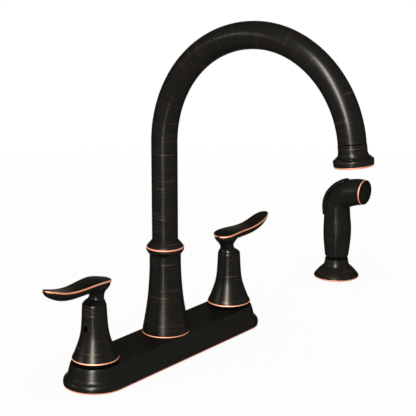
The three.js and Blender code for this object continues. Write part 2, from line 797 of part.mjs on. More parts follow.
function spoutBody() {
  const inner = POST_RADIUS - GROOVE_DEPTH;
  const grooves = [LOWER_GROOVE, UPPER_GROOVE].flatMap((z) => [
    [POST_RADIUS, z],
    [inner, z],
    [inner, z + GROOVE_HEIGHT],
    [POST_RADIUS, z + GROOVE_HEIGHT],
  ]);
  const body = turned([
    [0, FLANGE_BOTTOM],
    [FLANGE_RADIUS, FLANGE_BOTTOM],
    [FLANGE_RADIUS, FLANGE_TOP],
    [BODY_RADIUS, FLANGE_TOP],
    [BODY_RADIUS, POST_BOTTOM],
    [POST_RADIUS, POST_BOTTOM],
    ...grooves,
    [POST_RADIUS, POST_TOP],
    [WATERWAY, POST_TOP],
    [WATERWAY, POCKET_FLOOR],
    [0, POCKET_FLOOR],
  ]);
  const into = (FLANGE_BOTTOM + FLANGE_TOP) / 2;
  const nipple = rod(NIPPLE_RADIUS, -NIPPLE_LENGTH, into).translate(0, NIPPLE_OFFSET, 0);
  const bore = rod(NIPPLE_BORE, -NIPPLE_LENGTH - 1, FLANGE_TOP).translate(0, NIPPLE_OFFSET, 0);
  const reach = BODY_RADIUS - 2;
  const crossing = lyingRod("x", CROSSING_RADIUS, -reach, reach);
  const sockets = [-1, 1].map((side) => {
    const from = BODY_RADIUS - CROSS_TUBE_GRIP - 2 * GAP;
    const socket = lyingRod("x", SOCKET_RADIUS, from, FLANGE_RADIUS + 1);
    socket.translate(0, 0, CROSS_TUBE_HEIGHT);
    return side > 0 ? socket : socket.rotateZ(Math.PI);
  });
  return cut(
    joined(body, nipple),
    bore,
    crossing.translate(0, 0, CROSS_TUBE_HEIGHT),
    ...sockets,
  );
}

function crossTube() {
  const from = BODY_RADIUS - CROSS_TUBE_GRIP;
  const to = END - POCKET_RADIUS - 2 * GAP;
  const tube = washer(CROSS_TUBE_BORE, CROSS_TUBE_RADIUS, from, to, 20);
  return tube.rotateY(Math.PI / 2).translate(0, 0, CROSS_TUBE_HEIGHT);
}

// An O ring of round section lying in a groove of the post.
function oRing(bottom) {
  const middle = bottom + GROOVE_HEIGHT / 2;
  const centre = POST_RADIUS - O_RING_SECTION + RUNNING;
  const profile = [];
  for (let i = 0; i < 6; i += 1) {
    const angle = 2 * Math.PI * i / 6;
    const r = centre + O_RING_SECTION * Math.cos(angle);
    profile.push([r, middle + O_RING_SECTION * Math.sin(angle)]);
  }
  return turned(profile);
}

const SPOUT_STEM_RADIUS = TUBE_RADIUS - TUBE_WALL - GAP;
const SPOUT_STEM_BOTTOM = RETAINER_BOTTOM + RETAINER_THICKNESS + 2 * GAP;

function spoutStem() {
  const bore = turningBore(POST_RADIUS);
  return washer(bore, SPOUT_STEM_RADIUS, SPOUT_STEM_BOTTOM, SPOUT_STEM_TOP);
}

function spoutBushing() {
  const outer = BASE_BORE * Math.cos(Math.PI / SMOOTH) - GAP;
  const top = BASE_TOP - GAP;
  return washer(turningBore(SPOUT_STEM_RADIUS), outer, top - BUSHING_LENGTH, top);
}

function spoutRetainer() {
  const top = RETAINER_BOTTOM + RETAINER_THICKNESS;
  return washer(POST_RADIUS + GAP, RETAINER_RADIUS, RETAINER_BOTTOM, top);
}

// The bell over the collar's band, as shares.
const COLLAR_BELL = [
  [0, 1],
  [0.2, 0.86],
  [0.5, 0.56],
  [0.78, 0.25],
  [1, 0],
];

function swivelCollar() {
  const bottom = BASE_TOP + GAP;
  const bore = TUBE_RADIUS + GAP + RUNNING;
  const band = bottom + GAP + COLLAR_BAND;
  const bell = COLLAR_RADIUS - COLLAR_STEP;
  return turned([
    [bore, bottom],
    [COLLAR_RADIUS - 2 * GAP, bottom],
    [COLLAR_RADIUS, bottom + GAP],
    [COLLAR_RADIUS, band - GAP],
    [bell, band],
    ...flare(COLLAR_BELL, bore + GAP, bell, band + GAP, COLLAR_TOP),
    [bore, COLLAR_TOP],
  ], SMOOTH);
}

const TUBE_BOTTOM = BASE_TOP + GAP + 2 * RUNNING;

// Points down the middle of the spout with their directions, in the plane of the arch.
function spoutPath() {
  const path = [];
  for (let i = 0; i <= 2; i += 1) {
    const z = TUBE_BOTTOM + (RISER_TOP - TUBE_BOTTOM) * i / 2;
    path.push({ out: 0, up: z, heading: 0 });
  }
  const steps = 10;
  for (let i = 1; i <= steps; i += 1) {
    const t = Math.PI / 2 * i / steps;
    const out = REAR_BEND * (1 - Math.cos(t));
    path.push({ out, up: RISER_TOP + REAR_BEND * Math.sin(t), heading: t });
  }
  const fall = FRONT_BEND_ANGLE * Math.PI / 180;
  for (let i = 1; i <= steps; i += 1) {
    const t = fall * i / steps;
    const out = REAR_BEND + FRONT_BEND * Math.sin(t);
    const up = RISER_TOP + REAR_BEND - FRONT_BEND * (1 - Math.cos(t));
    path.push({ out, up, heading: Math.PI / 2 + t });
  }
  return path;
}

function tubeLoop({ out, up, heading }, radius, count = PLAIN) {
  return circle(radius, count).map(([x, across]) => {
    const y = -out - across * Math.cos(heading);
    return new THREE.Vector3(x, y, up - across * Math.sin(heading));
  });
}

function spoutTube() {
  const path = spoutPath();
  const outside = path.map((station) => tubeLoop(station, TUBE_RADIUS));
  const inside = path.map((station) => tubeLoop(station, TUBE_RADIUS - TUBE_WALL));
  return loft([...outside, ...inside.reverse()], true);
}

// The outlet's pieces are turned about the end of the spout, with -Z down the stream.
const OUTLET_FLARE = [
  [0, 0],
  [0.344, 0.125],
  [0.656, 0.458],
  [0.844, 0.833],
  [1, 1],
];
const OUTLET_SEAT = OUTLET_LENGTH - OUTLET_BORE_DEPTH;
const WASHER_TOP = OUTLET_SEAT - HOUSING_CONE - AERATOR_WASHER_THICKNESS;

function aeratorHousing() {
  const neck = HOUSING_RADIUS;
  const band = OUTLET_BAND_RADIUS;
  return turned([
    [HOUSING_BORE, -GAP],
    [neck - 2 * GAP, -GAP],
    [neck - RUNNING, -3 * GAP],
    ...flare(OUTLET_FLARE, neck, band, -HOUSING_NECK, -OUTLET_BAND_TOP),
    [band, 3 * GAP - OUTLET_LENGTH],
    [band - 2 * GAP, -OUTLET_LENGTH],
    [OUTLET_BORE, -OUTLET_LENGTH],
    [OUTLET_BORE, -OUTLET_SEAT],
    [HOUSING_BORE, HOUSING_CONE - OUTLET_SEAT],
  ], SMOOTH);
}

function aeratorWasher() {
  const bottom = -WASHER_TOP - AERATOR_WASHER_THICKNESS;
  return washer(AERATOR_WASHER_BORE, HOUSING_BORE - GAP, bottom, -WASHER_TOP);
}

const SHELL_TOP = OUTLET_SEAT + 2 * GAP;
const SCREEN_BOTTOM = SHELL_TOP + SHELL_LIP + GAP + SCREEN_THICKNESS;

function aeratorShell() {
  const outer = OUTLET_BORE - GAP;
  const bore = outer - SHELL_WALL;
  const bottom = SHELL_TOP + SHELL_LENGTH;
  return turned([
    [bore - 2 * GAP, -SHELL_TOP],
    [outer, -SHELL_TOP],
    [outer, -bottom],
    [bore, -bottom],
    [bore, -SHELL_TOP - SHELL_LIP],
    [bore - 2 * GAP, -SHELL_TOP - SHELL_LIP],
  ]);
}

function aeratorScreen() {
  const holes = [[0, 0, SCREEN_HOLE]];
  for (let i = 0; i < 8; i += 1) {
    const angle = 2 * Math.PI * i / 8;
    const x = SCREEN_HOLE_RING * Math.cos(angle);
    holes.push([x, SCREEN_HOLE_RING * Math.sin(angle), SCREEN_HOLE]);
  }
  const radius = (OUTLET_BORE - GAP - SHELL_WALL) * Math.cos(Math.PI / PLAIN) - RUNNING;
  return prism(circle(radius), holes, -SCREEN_BOTTOM, SCREEN_THICKNESS - SCREEN_BOTTOM, 6);
}

// ---------------------------------------------------------------- side spray

// The flange's cone and the hollow side of the neck above it, as shares.
const FLANGE_CONE = [
  [0, 1],
  [0.575, 0.5],
  [1, 0],
];
const GUIDE_NECK = [
  [0.1, 0.6],
  [0.45, 0.26],
  [1, 0],
];

function sprayGuide() {
  const rim = SPRAY_FLANGE_RIM;
  const band = rim + SPRAY_FLANGE_BAND;
  const under = SPRAY_GASKET_THICKNESS + GAP;
  const bore = GUIDE_BORE;
  const neck = GUIDE_NECK_RADIUS;
  const shoulder = SPRAY_SHOULDER_RADIUS;
  const recess = SPRAY_FLANGE_RADIUS - PLATE_WALL;
  return turned([
    [SPRAY_FLANGE_RADIUS - 2 * GAP, rim],
    [SPRAY_FLANGE_RADIUS, rim + 2 * GAP],
    ...flare(FLANGE_CONE, shoulder, SPRAY_FLANGE_RADIUS, band, SPRAY_SHOULDER_HEIGHT),
    ...flare(GUIDE_NECK, neck, shoulder, SPRAY_SHOULDER_HEIGHT, GUIDE_TOP),
    [neck - 5 * GAP, GUIDE_TOP],
    [bore + 2 * GAP, CONE_SHOULDER + 4 * GAP],
    [bore + GAP, (CONE_BOTTOM + CONE_SHOULDER) / 2],
    [bore, -GUIDE_LENGTH],
    [GUIDE_SHANK_RADIUS - GUIDE_CHAMFER, -GUIDE_LENGTH],
    [GUIDE_SHANK_RADIUS, GUIDE_CHAMFER - GUIDE_LENGTH],
    [GUIDE_SHANK_RADIUS, under],
    [recess, under],
    [recess, rim],
  ], SMOOTH);
}

function sprayGasket() {
  const outer = SPRAY_FLANGE_RADIUS - PLATE_WALL - 2 * GAP;
  return washer(GUIDE_SHANK_RADIUS + GAP, outer, 0, SPRAY_GASKET_THICKNESS, SMOOTH);
}

// Sections of the spray's grip and head as shares: how far back, height, lean in degrees
// and radius. The lean goes from upright at the grip to a right angle at the spray face.
const SPRAY_SHARES = [
  [0, 0, 0, 0.822],
  [0, 0.008, 0, 0.848],
  [0, 0.039, 0, 0.871],
  [0, 0.161, 0, 0.939],
  [0, 0.28, 0, 0.987],
  [0, 0.402, 0, 1],
  [0.003, 0.488, 2, 0.984],
  [0.012, 0.578, 7, 0.958],
  [0.012, 0.656, 13, 0.945],
  [0, 0.726, 22, 0.939],
  [-0.035, 0.796, 34, 0.926],
  [-0.102, 0.853, 48, 0.919],
  [-0.212, 0.901, 62, 0.939],
  [-0.36, 0.939, 76, 0.971],
  [-0.535, 0.966, 84, 0.977],
  [-0.756, 0.99, 88, 0.945],
  [-0.948, 1, 90, 0.9],
  [-1, 1, 90, 0.88],
];
const SPRAY_SECTIONS = SPRAY_SHARES.map(([back, rise, lean, radius]) => [
  back * HEAD_REACH,
  GRIP_BOTTOM + rise * (HEAD_HEIGHT - GRIP_BOTTOM),
  lean,
  radius * GRIP_RADIUS,
]);

function headLoop([back, height, lean, radius], angles) {
  const tilt = lean * Math.PI / 180;
  return angles.map(([angle, grow]) => {
    const x = (radius + grow) * Math.cos(angle);
    const out = (radius + grow) * Math.sin(angle);
    const y = back + out * Math.cos(tilt);
    return new THREE.Vector3(x, y, height + out * Math.sin(tilt));
  });
}

function roundAngles(count) {
  const angles = [];
  for (let i = 0; i < count; i += 1) {
    angles.push([2 * Math.PI * i / count, 0]);
  }
  return angles;
}

// A strip with parallel sides that lies over the back of the head. A section's last two
// values are the growths of the head's radius at its inner and its outer face.
function backStrip(sections, halfWidth) {
  const steps = 5;
  return loft(sections.map((row) => {
    const angles = [];
    for (const [grow, way] of [[row[5], 1], [row[4], -1]]) {
      const half = way * Math.asin(halfWidth / (row[3] + grow));
      for (let i = 0; i <= steps; i += 1) {
        angles.push([Math.PI / 2 + half * (2 * i / steps - 1), grow]);
      }
    }
    return headLoop(row, angles);
  }));
}

// The run of head sections that the trigger covers, lengthened at each end.
function triggerRun(below, beyond) {
  const run = SPRAY_SECTIONS.slice(7, 14).map((row) => [...row]);
  const first = [...run[0]];
  first[0] -= RUNNING;
  first[1] -= TRIGGER_TAIL + below;
  first[3] += 0.5;
  const last = [...run[run.length - 1]];
  last[0] -= TRIGGER_NOSE + beyond;
  last[1] += 0.7;
  last[2] += 3;
  return [first, ...run, last];
}

// How far the trigger plate swells, and how deep its pocket is, at each section of its
// run, as shares. The pocket is deep where the plate travels far from its pivot.
const SWELL_SHARES = [-0.4, 0.1, 0.75, 1, 0.85, 0.65, 0.45, 0.2, 0];
const POCKET_SHARES = [1, 0.97, 0.92, 0.81, 0.68, 0.54, 0.42, 0.3, 0.24];

const PIVOT = [-PIVOT_BACK, HEAD_HEIGHT + PIVOT_RISE];

function sprayBody() {
  const reach = 1.25 * HEAD_REACH;
  const body = loft(SPRAY_SECTIONS.map((row) => headLoop(row, roundAngles(20))));
  const run = triggerRun(POCKET_ROOM_BELOW, POCKET_ROOM_BEYOND);
  run.forEach((row, i) => row.push(-POCKET_SHARES[i] * TRIGGER_POCKET, GRIP_RADIUS / 2));
  const pocket = backStrip(run, TRIGGER_HALF_WIDTH + POCKET_SIDE_GAP);
  const face = lyingRod("y", FACE_RADIUS + GAP + RUNNING, -reach, FACE_RECESS - HEAD_REACH, 20);
  const slotHeight = 2 * EAR_HEIGHT;
  const slot = closed(new THREE.BoxGeometry(EAR_WIDTH + 1, EAR_LENGTH + 1.4, slotHeight));
  const length = PIN_HALF_LENGTH + 2 * GAP;
  const pin = lyingRod("x", PIN_RADIUS, -length, length).translate(0, ...PIVOT);
  const inlet = rod(HOSE_SPIGOT_RADIUS + GAP, 0, SPIGOT_TOP + GAP);
  return cut(
    body,
    pocket,
    face.translate(0, 0, HEAD_HEIGHT),
    slot.translate(0, ...PIVOT),
    pin,
    inlet,
  );
}

function sprayLever() {
  const run = triggerRun(0, 0);
  run.forEach((row, i) => {
    row.push(-TRIGGER_SUNK, TRIGGER_PROUD + SWELL_SHARES[i] * TRIGGER_SWELL);
  });
  const strip = backStrip(run, TRIGGER_HALF_WIDTH);
  const ear = closed(new THREE.BoxGeometry(EAR_WIDTH, EAR_LENGTH, EAR_HEIGHT));
  ear.translate(0, PIVOT[0], PIVOT[1] + EAR_HEIGHT / 2 - EAR_LENGTH * 0.38);
  const bore = lyingRod("x", turningBore(PIN_RADIUS, 12), -EAR_WIDTH, EAR_WIDTH);
  return cut(joined(strip, ear), bore.translate(0, ...PIVOT));
}

function sprayLeverPin() {
  const radius = PIN_RADIUS - RUNNING / 2;
  return lyingRod("x", radius, -PIN_HALF_LENGTH, PIN_HALF_LENGTH).translate(0, ...PIVOT);
}

function sprayFace() {
  const holes = [];
  for (const [ring, count] of [[OUTER_HOLE_RING, 10], [INNER_HOLE_RING, 5]]) {
    for (let i = 0; i < count; i += 1) {
      const angle = 2 * Math.PI * i / count;
      holes.push([ring * Math.cos(angle), ring * Math.sin(angle), FACE_HOLE]);
    }
  }
  const face = prism(circle(FACE_RADIUS), holes, 0, FACE_THICKNESS, 5);
  const back = FACE_RECESS - GAP - HEAD_REACH;
  return closed(face.rotateX(Math.PI / 2).translate(0, back, HEAD_HEIGHT));
}

// The hose nipple under the grip, with the cone that seats in the guide.
function sprayNipple() {
  const radius = HOSE_NIPPLE_RADIUS;
  const bore = HOSE_NIPPLE_BORE;
  return turned([
    [bore, -HOSE_NIPPLE_DROP],
    [radius - 2 * GAP, -HOSE_NIPPLE_DROP],
    [radius, 2.7 * GAP - HOSE_NIPPLE_DROP],
    [radius, CONE_BOTTOM],
    [CONE_RADIUS - GAP, CONE_SHOULDER],
    [CONE_RADIUS, GUIDE_TOP - GAP],
    [HOSE_SPIGOT_RADIUS, GUIDE_TOP + RUNNING * 2],
    [HOSE_SPIGOT_RADIUS, SPIGOT_TOP],
    [bore, SPIGOT_TOP],
  ]);
}

function spraySpacer() {
  const top = GRIP_BOTTOM - GAP;
  return washer(HOSE_SPIGOT_RADIUS + GAP, SPACER_RADIUS, top - SPACER_THICKNESS, top);
}

// ---------------------------------------------------------------- assembly

const WASHER_BOTTOM = -DECK_THICKNESS - DECK_WASHER_THICKNESS;

function deckWasher(shank, outer) {
  return washer(shank + GAP, outer, WASHER_BOTTOM, -DECK_THICKNESS);
}

// A large plastic nut under the deck: a rim with a hexagon below it.
function mountingNut(shank, rimRadius, acrossFlats) {
  const bore = shank + GAP;
  const top = WASHER_BOTTOM - GAP;
  const middle = top - NUT_RIM_THICKNESS;
  const hex = hexNut(acrossFlats, bore, middle - NUT_HEX_HEIGHT, middle);
  return joined(hex, washer(bore, rimRadius, middle - GAP, top));
}

// One side's valve, fixings and handle, with the lever pointing to +X. The group is
// turned by half a turn on the hot side.
function side(prefix) {
  const nut = mountingNut(SHANK_RADIUS, SUPPLY_NUT_RIM, SUPPLY_NUT_FLATS);
  const seat = discWithPorts(SEAT_BOTTOM, SEAT_TOP, 0);
  const disc = discWithPorts(TURNING_BOTTOM, TURNING_TOP, Math.PI / 2);
  const sealed = [
    piece(`${prefix}_valve_body`, valveBody(), brass),
    piece(`${prefix}_cartridge`, cartridge(), brass),
    piece(`${prefix}_seat_disc`, seat, ceramic),
    piece(`${prefix}_bonnet_nut`, bonnetNut(), brass),
    piece(`${prefix}_base_ring`, baseRing(), blackPlastic),
    piece(`${prefix}_deck_washer`, deckWasher(SHANK_RADIUS, SUPPLY_WASHER_RADIUS), rubber),
    piece(`${prefix}_mounting_nut`, nut, blackPlastic),
  ];
  const handle = [
    piece(`${prefix}_turning_disc`, disc, ceramic),
    piece(`${prefix}_cartridge_stem`, cartridgeStem(), brass),
    piece(`${prefix}_hub`, hub(), bronze),
    piece(`${prefix}_set_screw`, setScrew(), steel),
    piece(`${prefix}_lever`, lever(), bronze),
  ];
  const group = groupAt(0, 0, 0, ...sealed, groupAt(0, 0, 0, ...handle));
  const isHot = prefix === "hot";
  group.position.x = isHot ? -END : END;
  group.rotation.z = isHot ? Math.PI : 0;
  return group;
}

const fixed = [
  piece("deck_gasket", deckGasket(), rubber),
  piece("deck_plate", deckPlate(), bronze),
  piece("cold_cross_tube", crossTube(), brass),
  piece("hot_cross_tube", crossTube().rotateZ(Math.PI), brass),
  piece("spout_body", spoutBody(), brass),
  piece("spout_retainer", spoutRetainer(), brass),
  piece("lower_o_ring", oRing(LOWER_GROOVE), rubber),
  piece("upper_o_ring", oRing(UPPER_GROOVE), rubber),
  piece("spout_bushing", spoutBushing(), blackPlastic),
  piece("spout_base", spoutBase(), bronze),
];

const outletPath = spoutPath();
const outletEnd = outletPath[outletPath.length - 1];
const outlet = groupAt(
  0,
  -outletEnd.out,
  outletEnd.up,
  piece("aerator_housing", aeratorHousing(), bronze),
  piece("aerator_washer", aeratorWasher(), rubber),
  piece("aerator_shell", aeratorShell(), steel),
  piece("aerator_screen", aeratorScreen(), blackPlastic),
);
outlet.rotation.x = outletEnd.heading - Math.PI;

const spout = groupAt(
  0,
  0,
  0,
  piece("spout_stem", spoutStem(), brass),
  piece("swivel_collar", swivelCollar(), bronze),
  piece("spout_tube", spoutTube(), bronze),
  outlet,
);

const sideSpray = groupAt(
  SPRAY_OFFSET,
  0,
  0,
  piece("spray_gasket", sprayGasket(), rubber),
  piece("spray_guide", sprayGuide(), bronze),
  piece("spray_deck_washer", deckWasher(GUIDE_SHANK_RADIUS, SPRAY_WASHER_RADIUS), rubber),
  piece(
    "spray_mounting_nut",
    mountingNut(GUIDE_SHANK_RADIUS, SPRAY_NUT_RIM, SPRAY_NUT_FLATS),
    blackPlastic,
  ),
  groupAt(
    0,
    0,
    0,
    piece("spray_nipple", sprayNipple(), brass),
    piece("spray_spacer", spraySpacer(), blackPlastic),
    piece("spray_body", sprayBody(), bronze),
    piece("spray_face", sprayFace(), blackPlastic),
    piece("spray_lever_pin", sprayLeverPin(), steel),
    piece("spray_lever", sprayLever(), bronze),
  ),
);

const faucet = new THREE.Group();
faucet.name = "two_handle_kitchen_faucet";
faucet.add(...fixed, spout, side("hot"), side("cold"), sideSpray);

export default faucet;
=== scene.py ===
# %% [markdown]
# # A two handle kitchen faucet in dark bronze
# The real object is a deck plate with a hot and a cold lever handle, a tall curved spout
# in the middle and a hand spray that stands beside it. Its finish is nearly black, with
# bright copper on the edges and fine copper streaks where the brush cut through.
# The frame holds the CAD solids. Their flat faces would show in the highlights, so
# smooth pieces of the same size take the place of all that is seen from outside.

# %% Load the frame
import json
import math

import bmesh
import bpy
from mathutils import Matrix, Vector


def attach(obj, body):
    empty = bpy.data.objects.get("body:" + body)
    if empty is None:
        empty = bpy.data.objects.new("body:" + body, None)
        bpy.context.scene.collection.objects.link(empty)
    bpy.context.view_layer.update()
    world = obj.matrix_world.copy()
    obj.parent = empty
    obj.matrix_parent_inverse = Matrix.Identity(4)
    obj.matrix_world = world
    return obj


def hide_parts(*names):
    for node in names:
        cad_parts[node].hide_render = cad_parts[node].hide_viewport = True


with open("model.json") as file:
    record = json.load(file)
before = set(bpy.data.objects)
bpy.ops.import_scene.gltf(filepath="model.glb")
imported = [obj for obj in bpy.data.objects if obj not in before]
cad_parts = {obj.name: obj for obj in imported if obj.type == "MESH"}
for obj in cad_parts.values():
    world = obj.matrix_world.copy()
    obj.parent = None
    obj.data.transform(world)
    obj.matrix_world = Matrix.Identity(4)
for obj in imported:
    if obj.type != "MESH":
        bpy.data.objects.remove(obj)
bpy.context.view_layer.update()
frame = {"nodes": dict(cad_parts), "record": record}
nodes = frame["nodes"]
scene = bpy.context.scene

# %% [markdown]
# ## Where things are
# Sizes are in millimetres and become metres at the last moment, because a maker reads
# 203.2 mm as eight inches. The two handles and the spray have axes of their own, and
# pieces that meet stand one small gap apart.

# %% Sizes and axes
MM = 0.001
GAP = 0.3
HANDLE_X = 101.6
SPRAY_X = 304.8
PLATE_TOP = 21.3
SIDES = {"hot": -1, "cold": 1}
MIDDLE_AXIS, SPRAY_AXIS = (0.0, 0.0), (SPRAY_X, 0.0)

def handle_axis(side):
    return (SIDES[side] * HANDLE_X, 0.0)

print("handles at", handle_axis("hot"), handle_axis("cold"), "spray at", SPRAY_AXIS)

# %% [markdown]
# ## The camera
# The photograph looks down a little from the hot side with a long lens. The camera
# could be placed by eye, but was worked out from the round copper edges, whose real
# shapes are circles.

# %% Camera
CAMERA_PLACE = (-1029.6, -833.0, 496.0)
CAMERA_AZIMUTH, CAMERA_ELEVATION = -52.776, 14.924
SENSOR, LENS = 36.0, 126.474

def linked(name, data):
    """A new object that is in the scene."""
    thing = bpy.data.objects.new(name, data)
    scene.collection.objects.link(thing)
    return thing

def way_to(azimuth, elevation):
    """The way from the object to a camera or a lamp, from angles in degrees."""
    a, e = math.radians(azimuth), math.radians(elevation)
    return Vector((math.sin(a) * math.cos(e), -math.cos(a) * math.cos(e), math.sin(e)))

def aimed(thing, place, way):
    """Stands a camera or a lamp at a place in metres and makes it look along a way."""
    thing.location = place
    thing.rotation_mode = "QUATERNION"
    thing.rotation_quaternion = way.to_track_quat("-Z", "Y")

camera_data = bpy.data.cameras.new("camera")
camera_data.sensor_width, camera_data.lens = SENSOR, LENS
camera_data.clip_start, camera_data.clip_end = 0.05, 20.0
camera = linked("camera", camera_data)
aimed(camera, Vector(CAMERA_PLACE) * MM, -way_to(CAMERA_AZIMUTH, CAMERA_ELEVATION))
scene.camera = camera
scene.view_settings.view_transform = "Standard"
print("camera at", [round(v, 3) for v in camera.location])

# %% [markdown]
# ## Node helpers
# A node is made in one call, and each of its inputs is set in another. A tree reads more
# easily when a node and all that feeds it are one line, so an input here is either a
# plain value or the output of another node.

# %% Node helpers
def feed(tree, node, inputs):
    for key, value in inputs.items():
        socket = node.inputs[key]
        if isinstance(value, bpy.types.NodeSocket):
            tree.links.new(value, socket)
        else:
            socket.default_value = (*value, 1.0) if socket.type == "RGBA" else value

def add(tree, kind, inputs=None, **settings):
    node = tree.nodes.new(kind)
    node.location = (200 * len(tree.nodes), 0)
    for key, value in settings.items():
        setattr(node, key, value)
    feed(tree, node, inputs or {})
    return node

def maths(tree, operation, first, second, clamp=False):
    values = {0: first, 1: second}
    return add(tree, "ShaderNodeMath", values, operation=operation, use_clamp=clamp).outputs[0]

def ranged(tree, value, low, high, to_low=0.0, to_high=1.0):
    """Turns low into to_low and high into to_high, and stays between the two."""
    ends = {"From Min": low, "From Max": high, "To Min": to_low, "To Max": to_high}
    return add(tree, "ShaderNodeMapRange", {"Value": value, **ends}).outputs["Result"]

def blended(tree, factor, first, second):
    colours = {0: factor, 6: first, 7: second}
    return add(tree, "ShaderNodeMix", colours, data_type="RGBA").outputs[2]

def noise(tree, space, scale, detail=2.0):
    inputs = {"Vector": space, "Scale": scale, "Detail": detail}
    return add(tree, "ShaderNodeTexNoise", inputs).outputs["Fac"]

def bumped(tree, height, strength, distance):
    inputs = {"Height": height, "Strength": strength, "Distance": distance}
    return add(tree, "ShaderNodeBump", inputs).outputs["Normal"]

print("node helpers ready")

# %% [markdown]
# ## Node groups
# A pattern that several materials share is a group with named sockets. The same is true
# of a way to build shapes with Geometry Nodes, so one helper opens both kinds.

# %% Group helper
FLOAT, VECTOR, WHOLE = "NodeSocketFloat", "NodeSocketVector", "NodeSocketInt"
GEOMETRY, MATERIAL = "NodeSocketGeometry", "NodeSocketMaterial"

def node_group(kind, name, inputs, outputs):
    """A group's tree, what comes into it, and the identifiers of its inputs."""
    tree = bpy.data.node_groups.new(name, kind)
    keys = {}
    for label, sort, *value in inputs:
        socket = tree.interface.new_socket(name=label, in_out="INPUT", socket_type=sort)
        keys[label] = socket.identifier
        if value:
            socket.default_value = value[0]
    for label, sort in outputs:
        tree.interface.new_socket(name=label, in_out="OUTPUT", socket_type=sort)
    return tree, add(tree, "NodeGroupInput").outputs, keys

print("group helper ready")

# %% [markdown]
# ## Brush streaks
# The dark coat is rubbed by hand while the piece turns, so thin streaks of copper run
# round it. A painted picture could hold them, but noise that is stretched along the
# streak has no seams. The stretch is made in the piece's own brush space, whose third
# axis always runs across the streaks, so it works on a straight hub and on the bent
# spout. A second, broad noise keeps the streaks in patches.

# %% Streak group
STREAK_LENGTH, STREAK_WIDTH = 0.03, 0.00045
STREAK_LIMITS, HAZE_LIMITS = (0.64, 0.74), (0.4, 0.75)
PATCH_SCALE, PATCH_LIMITS = 55.0, (0.42, 0.56)
GRAIN_SCALE, GRAIN_DETAIL = 900.0, 3.0

def streak_group():
    tree, given, _ = node_group(
        "ShaderNodeTree", "brush_streaks",
        [("Brush", VECTOR), ("Length", FLOAT, STREAK_LENGTH), ("Width", FLOAT, STREAK_WIDTH)],
        [("Streaks", FLOAT), ("Haze", FLOAT), ("Grain", FLOAT)])
    split = add(tree, "ShaderNodeSeparateXYZ", {0: given["Brush"]}).outputs
    space = add(tree, "ShaderNodeCombineXYZ", {
        "X": maths(tree, "DIVIDE", split["X"], given["Length"]),
        "Y": maths(tree, "DIVIDE", split["Y"], given["Length"]),
        "Z": maths(tree, "DIVIDE", split["Z"], given["Width"]),
    })
    lines = noise(tree, space.outputs[0], 1.0)
    thin = ranged(tree, lines, *STREAK_LIMITS)
    sparse = ranged(tree, noise(tree, given["Brush"], PATCH_SCALE), *PATCH_LIMITS)
    add(tree, "NodeGroupOutput", {
        "Streaks": maths(tree, "MULTIPLY", thin, sparse, clamp=True),
        "Haze": ranged(tree, lines, *HAZE_LIMITS),
        "Grain": noise(tree, given["Brush"], GRAIN_SCALE, GRAIN_DETAIL),
    })
    return tree

brush_streaks = streak_group()
print("group", brush_streaks.name, "with", len(brush_streaks.nodes), "nodes")

# %% [markdown]
# ## Copper edges
# On the real faucet the coat is cut back along each lower edge and round each lever, in
# a line about a millimetre wide. A bevel shader could find edges by itself, but it would
# find wrong ones too. So every bronze piece carries a value named rim, which is one on
# such a line. Noise roughens its border, because a rubbed edge is never ruler straight.

# %% Edge group
EDGE_SCALE, EDGE_WANDER, EDGE_LIMITS = 260.0, 0.2, (0.35, 0.65)

def edge_group():
    tree, given, _ = node_group(
        "ShaderNodeTree", "copper_edge",
        [("Rim", FLOAT, 0.0), ("Brush", VECTOR), ("Wander", FLOAT, EDGE_WANDER)],
        [("Edge", FLOAT)])
    centred = maths(tree, "SUBTRACT", noise(tree, given["Brush"], EDGE_SCALE), 0.5)
    drift = maths(tree, "MULTIPLY", centred, given["Wander"])
    total = maths(tree, "ADD", given["Rim"], drift)
    add(tree, "NodeGroupOutput", {"Edge": ranged(tree, total, *EDGE_LIMITS)})
    return tree

copper_edge = edge_group()
print("group", copper_edge.name, "with", len(copper_edge.nodes), "nodes")

# %% [markdown]
# ## The dark bronze
# The coat is a satin, almost black metal. A dark edge tint holds down its reflection at
# a glancing angle, because the photograph's silhouettes stay black. Bare copper is
# rougher, since it was cut with a coarse brush. Separate materials on separate faces
# would meet along a row of face edges, so one material mixes them by streaks and rim.
# The cover plate and the spray were brushed less and have fewer streaks.

# %% Bronze material
DARK_COAT, WARM_COAT = (0.0130, 0.0125, 0.0108), (0.024, 0.019, 0.013)
COPPER, STREAK_COPPER = (0.44, 0.2, 0.124), (0.17, 0.095, 0.05)
COAT_METAL, EDGE_TINT = 0.5, (0.42, 0.41, 0.4)
COAT_ROUGHNESS, COPPER_ROUGHNESS = (0.285, 0.34), 0.4
WARM_SHARE, GRAIN_BUMP = 0.15, (0.08, 0.00005)

def new_material(name):
    material = bpy.data.materials.new(name)
    material.use_nodes = True
    return material, material.node_tree, material.node_tree.nodes["Principled BSDF"]

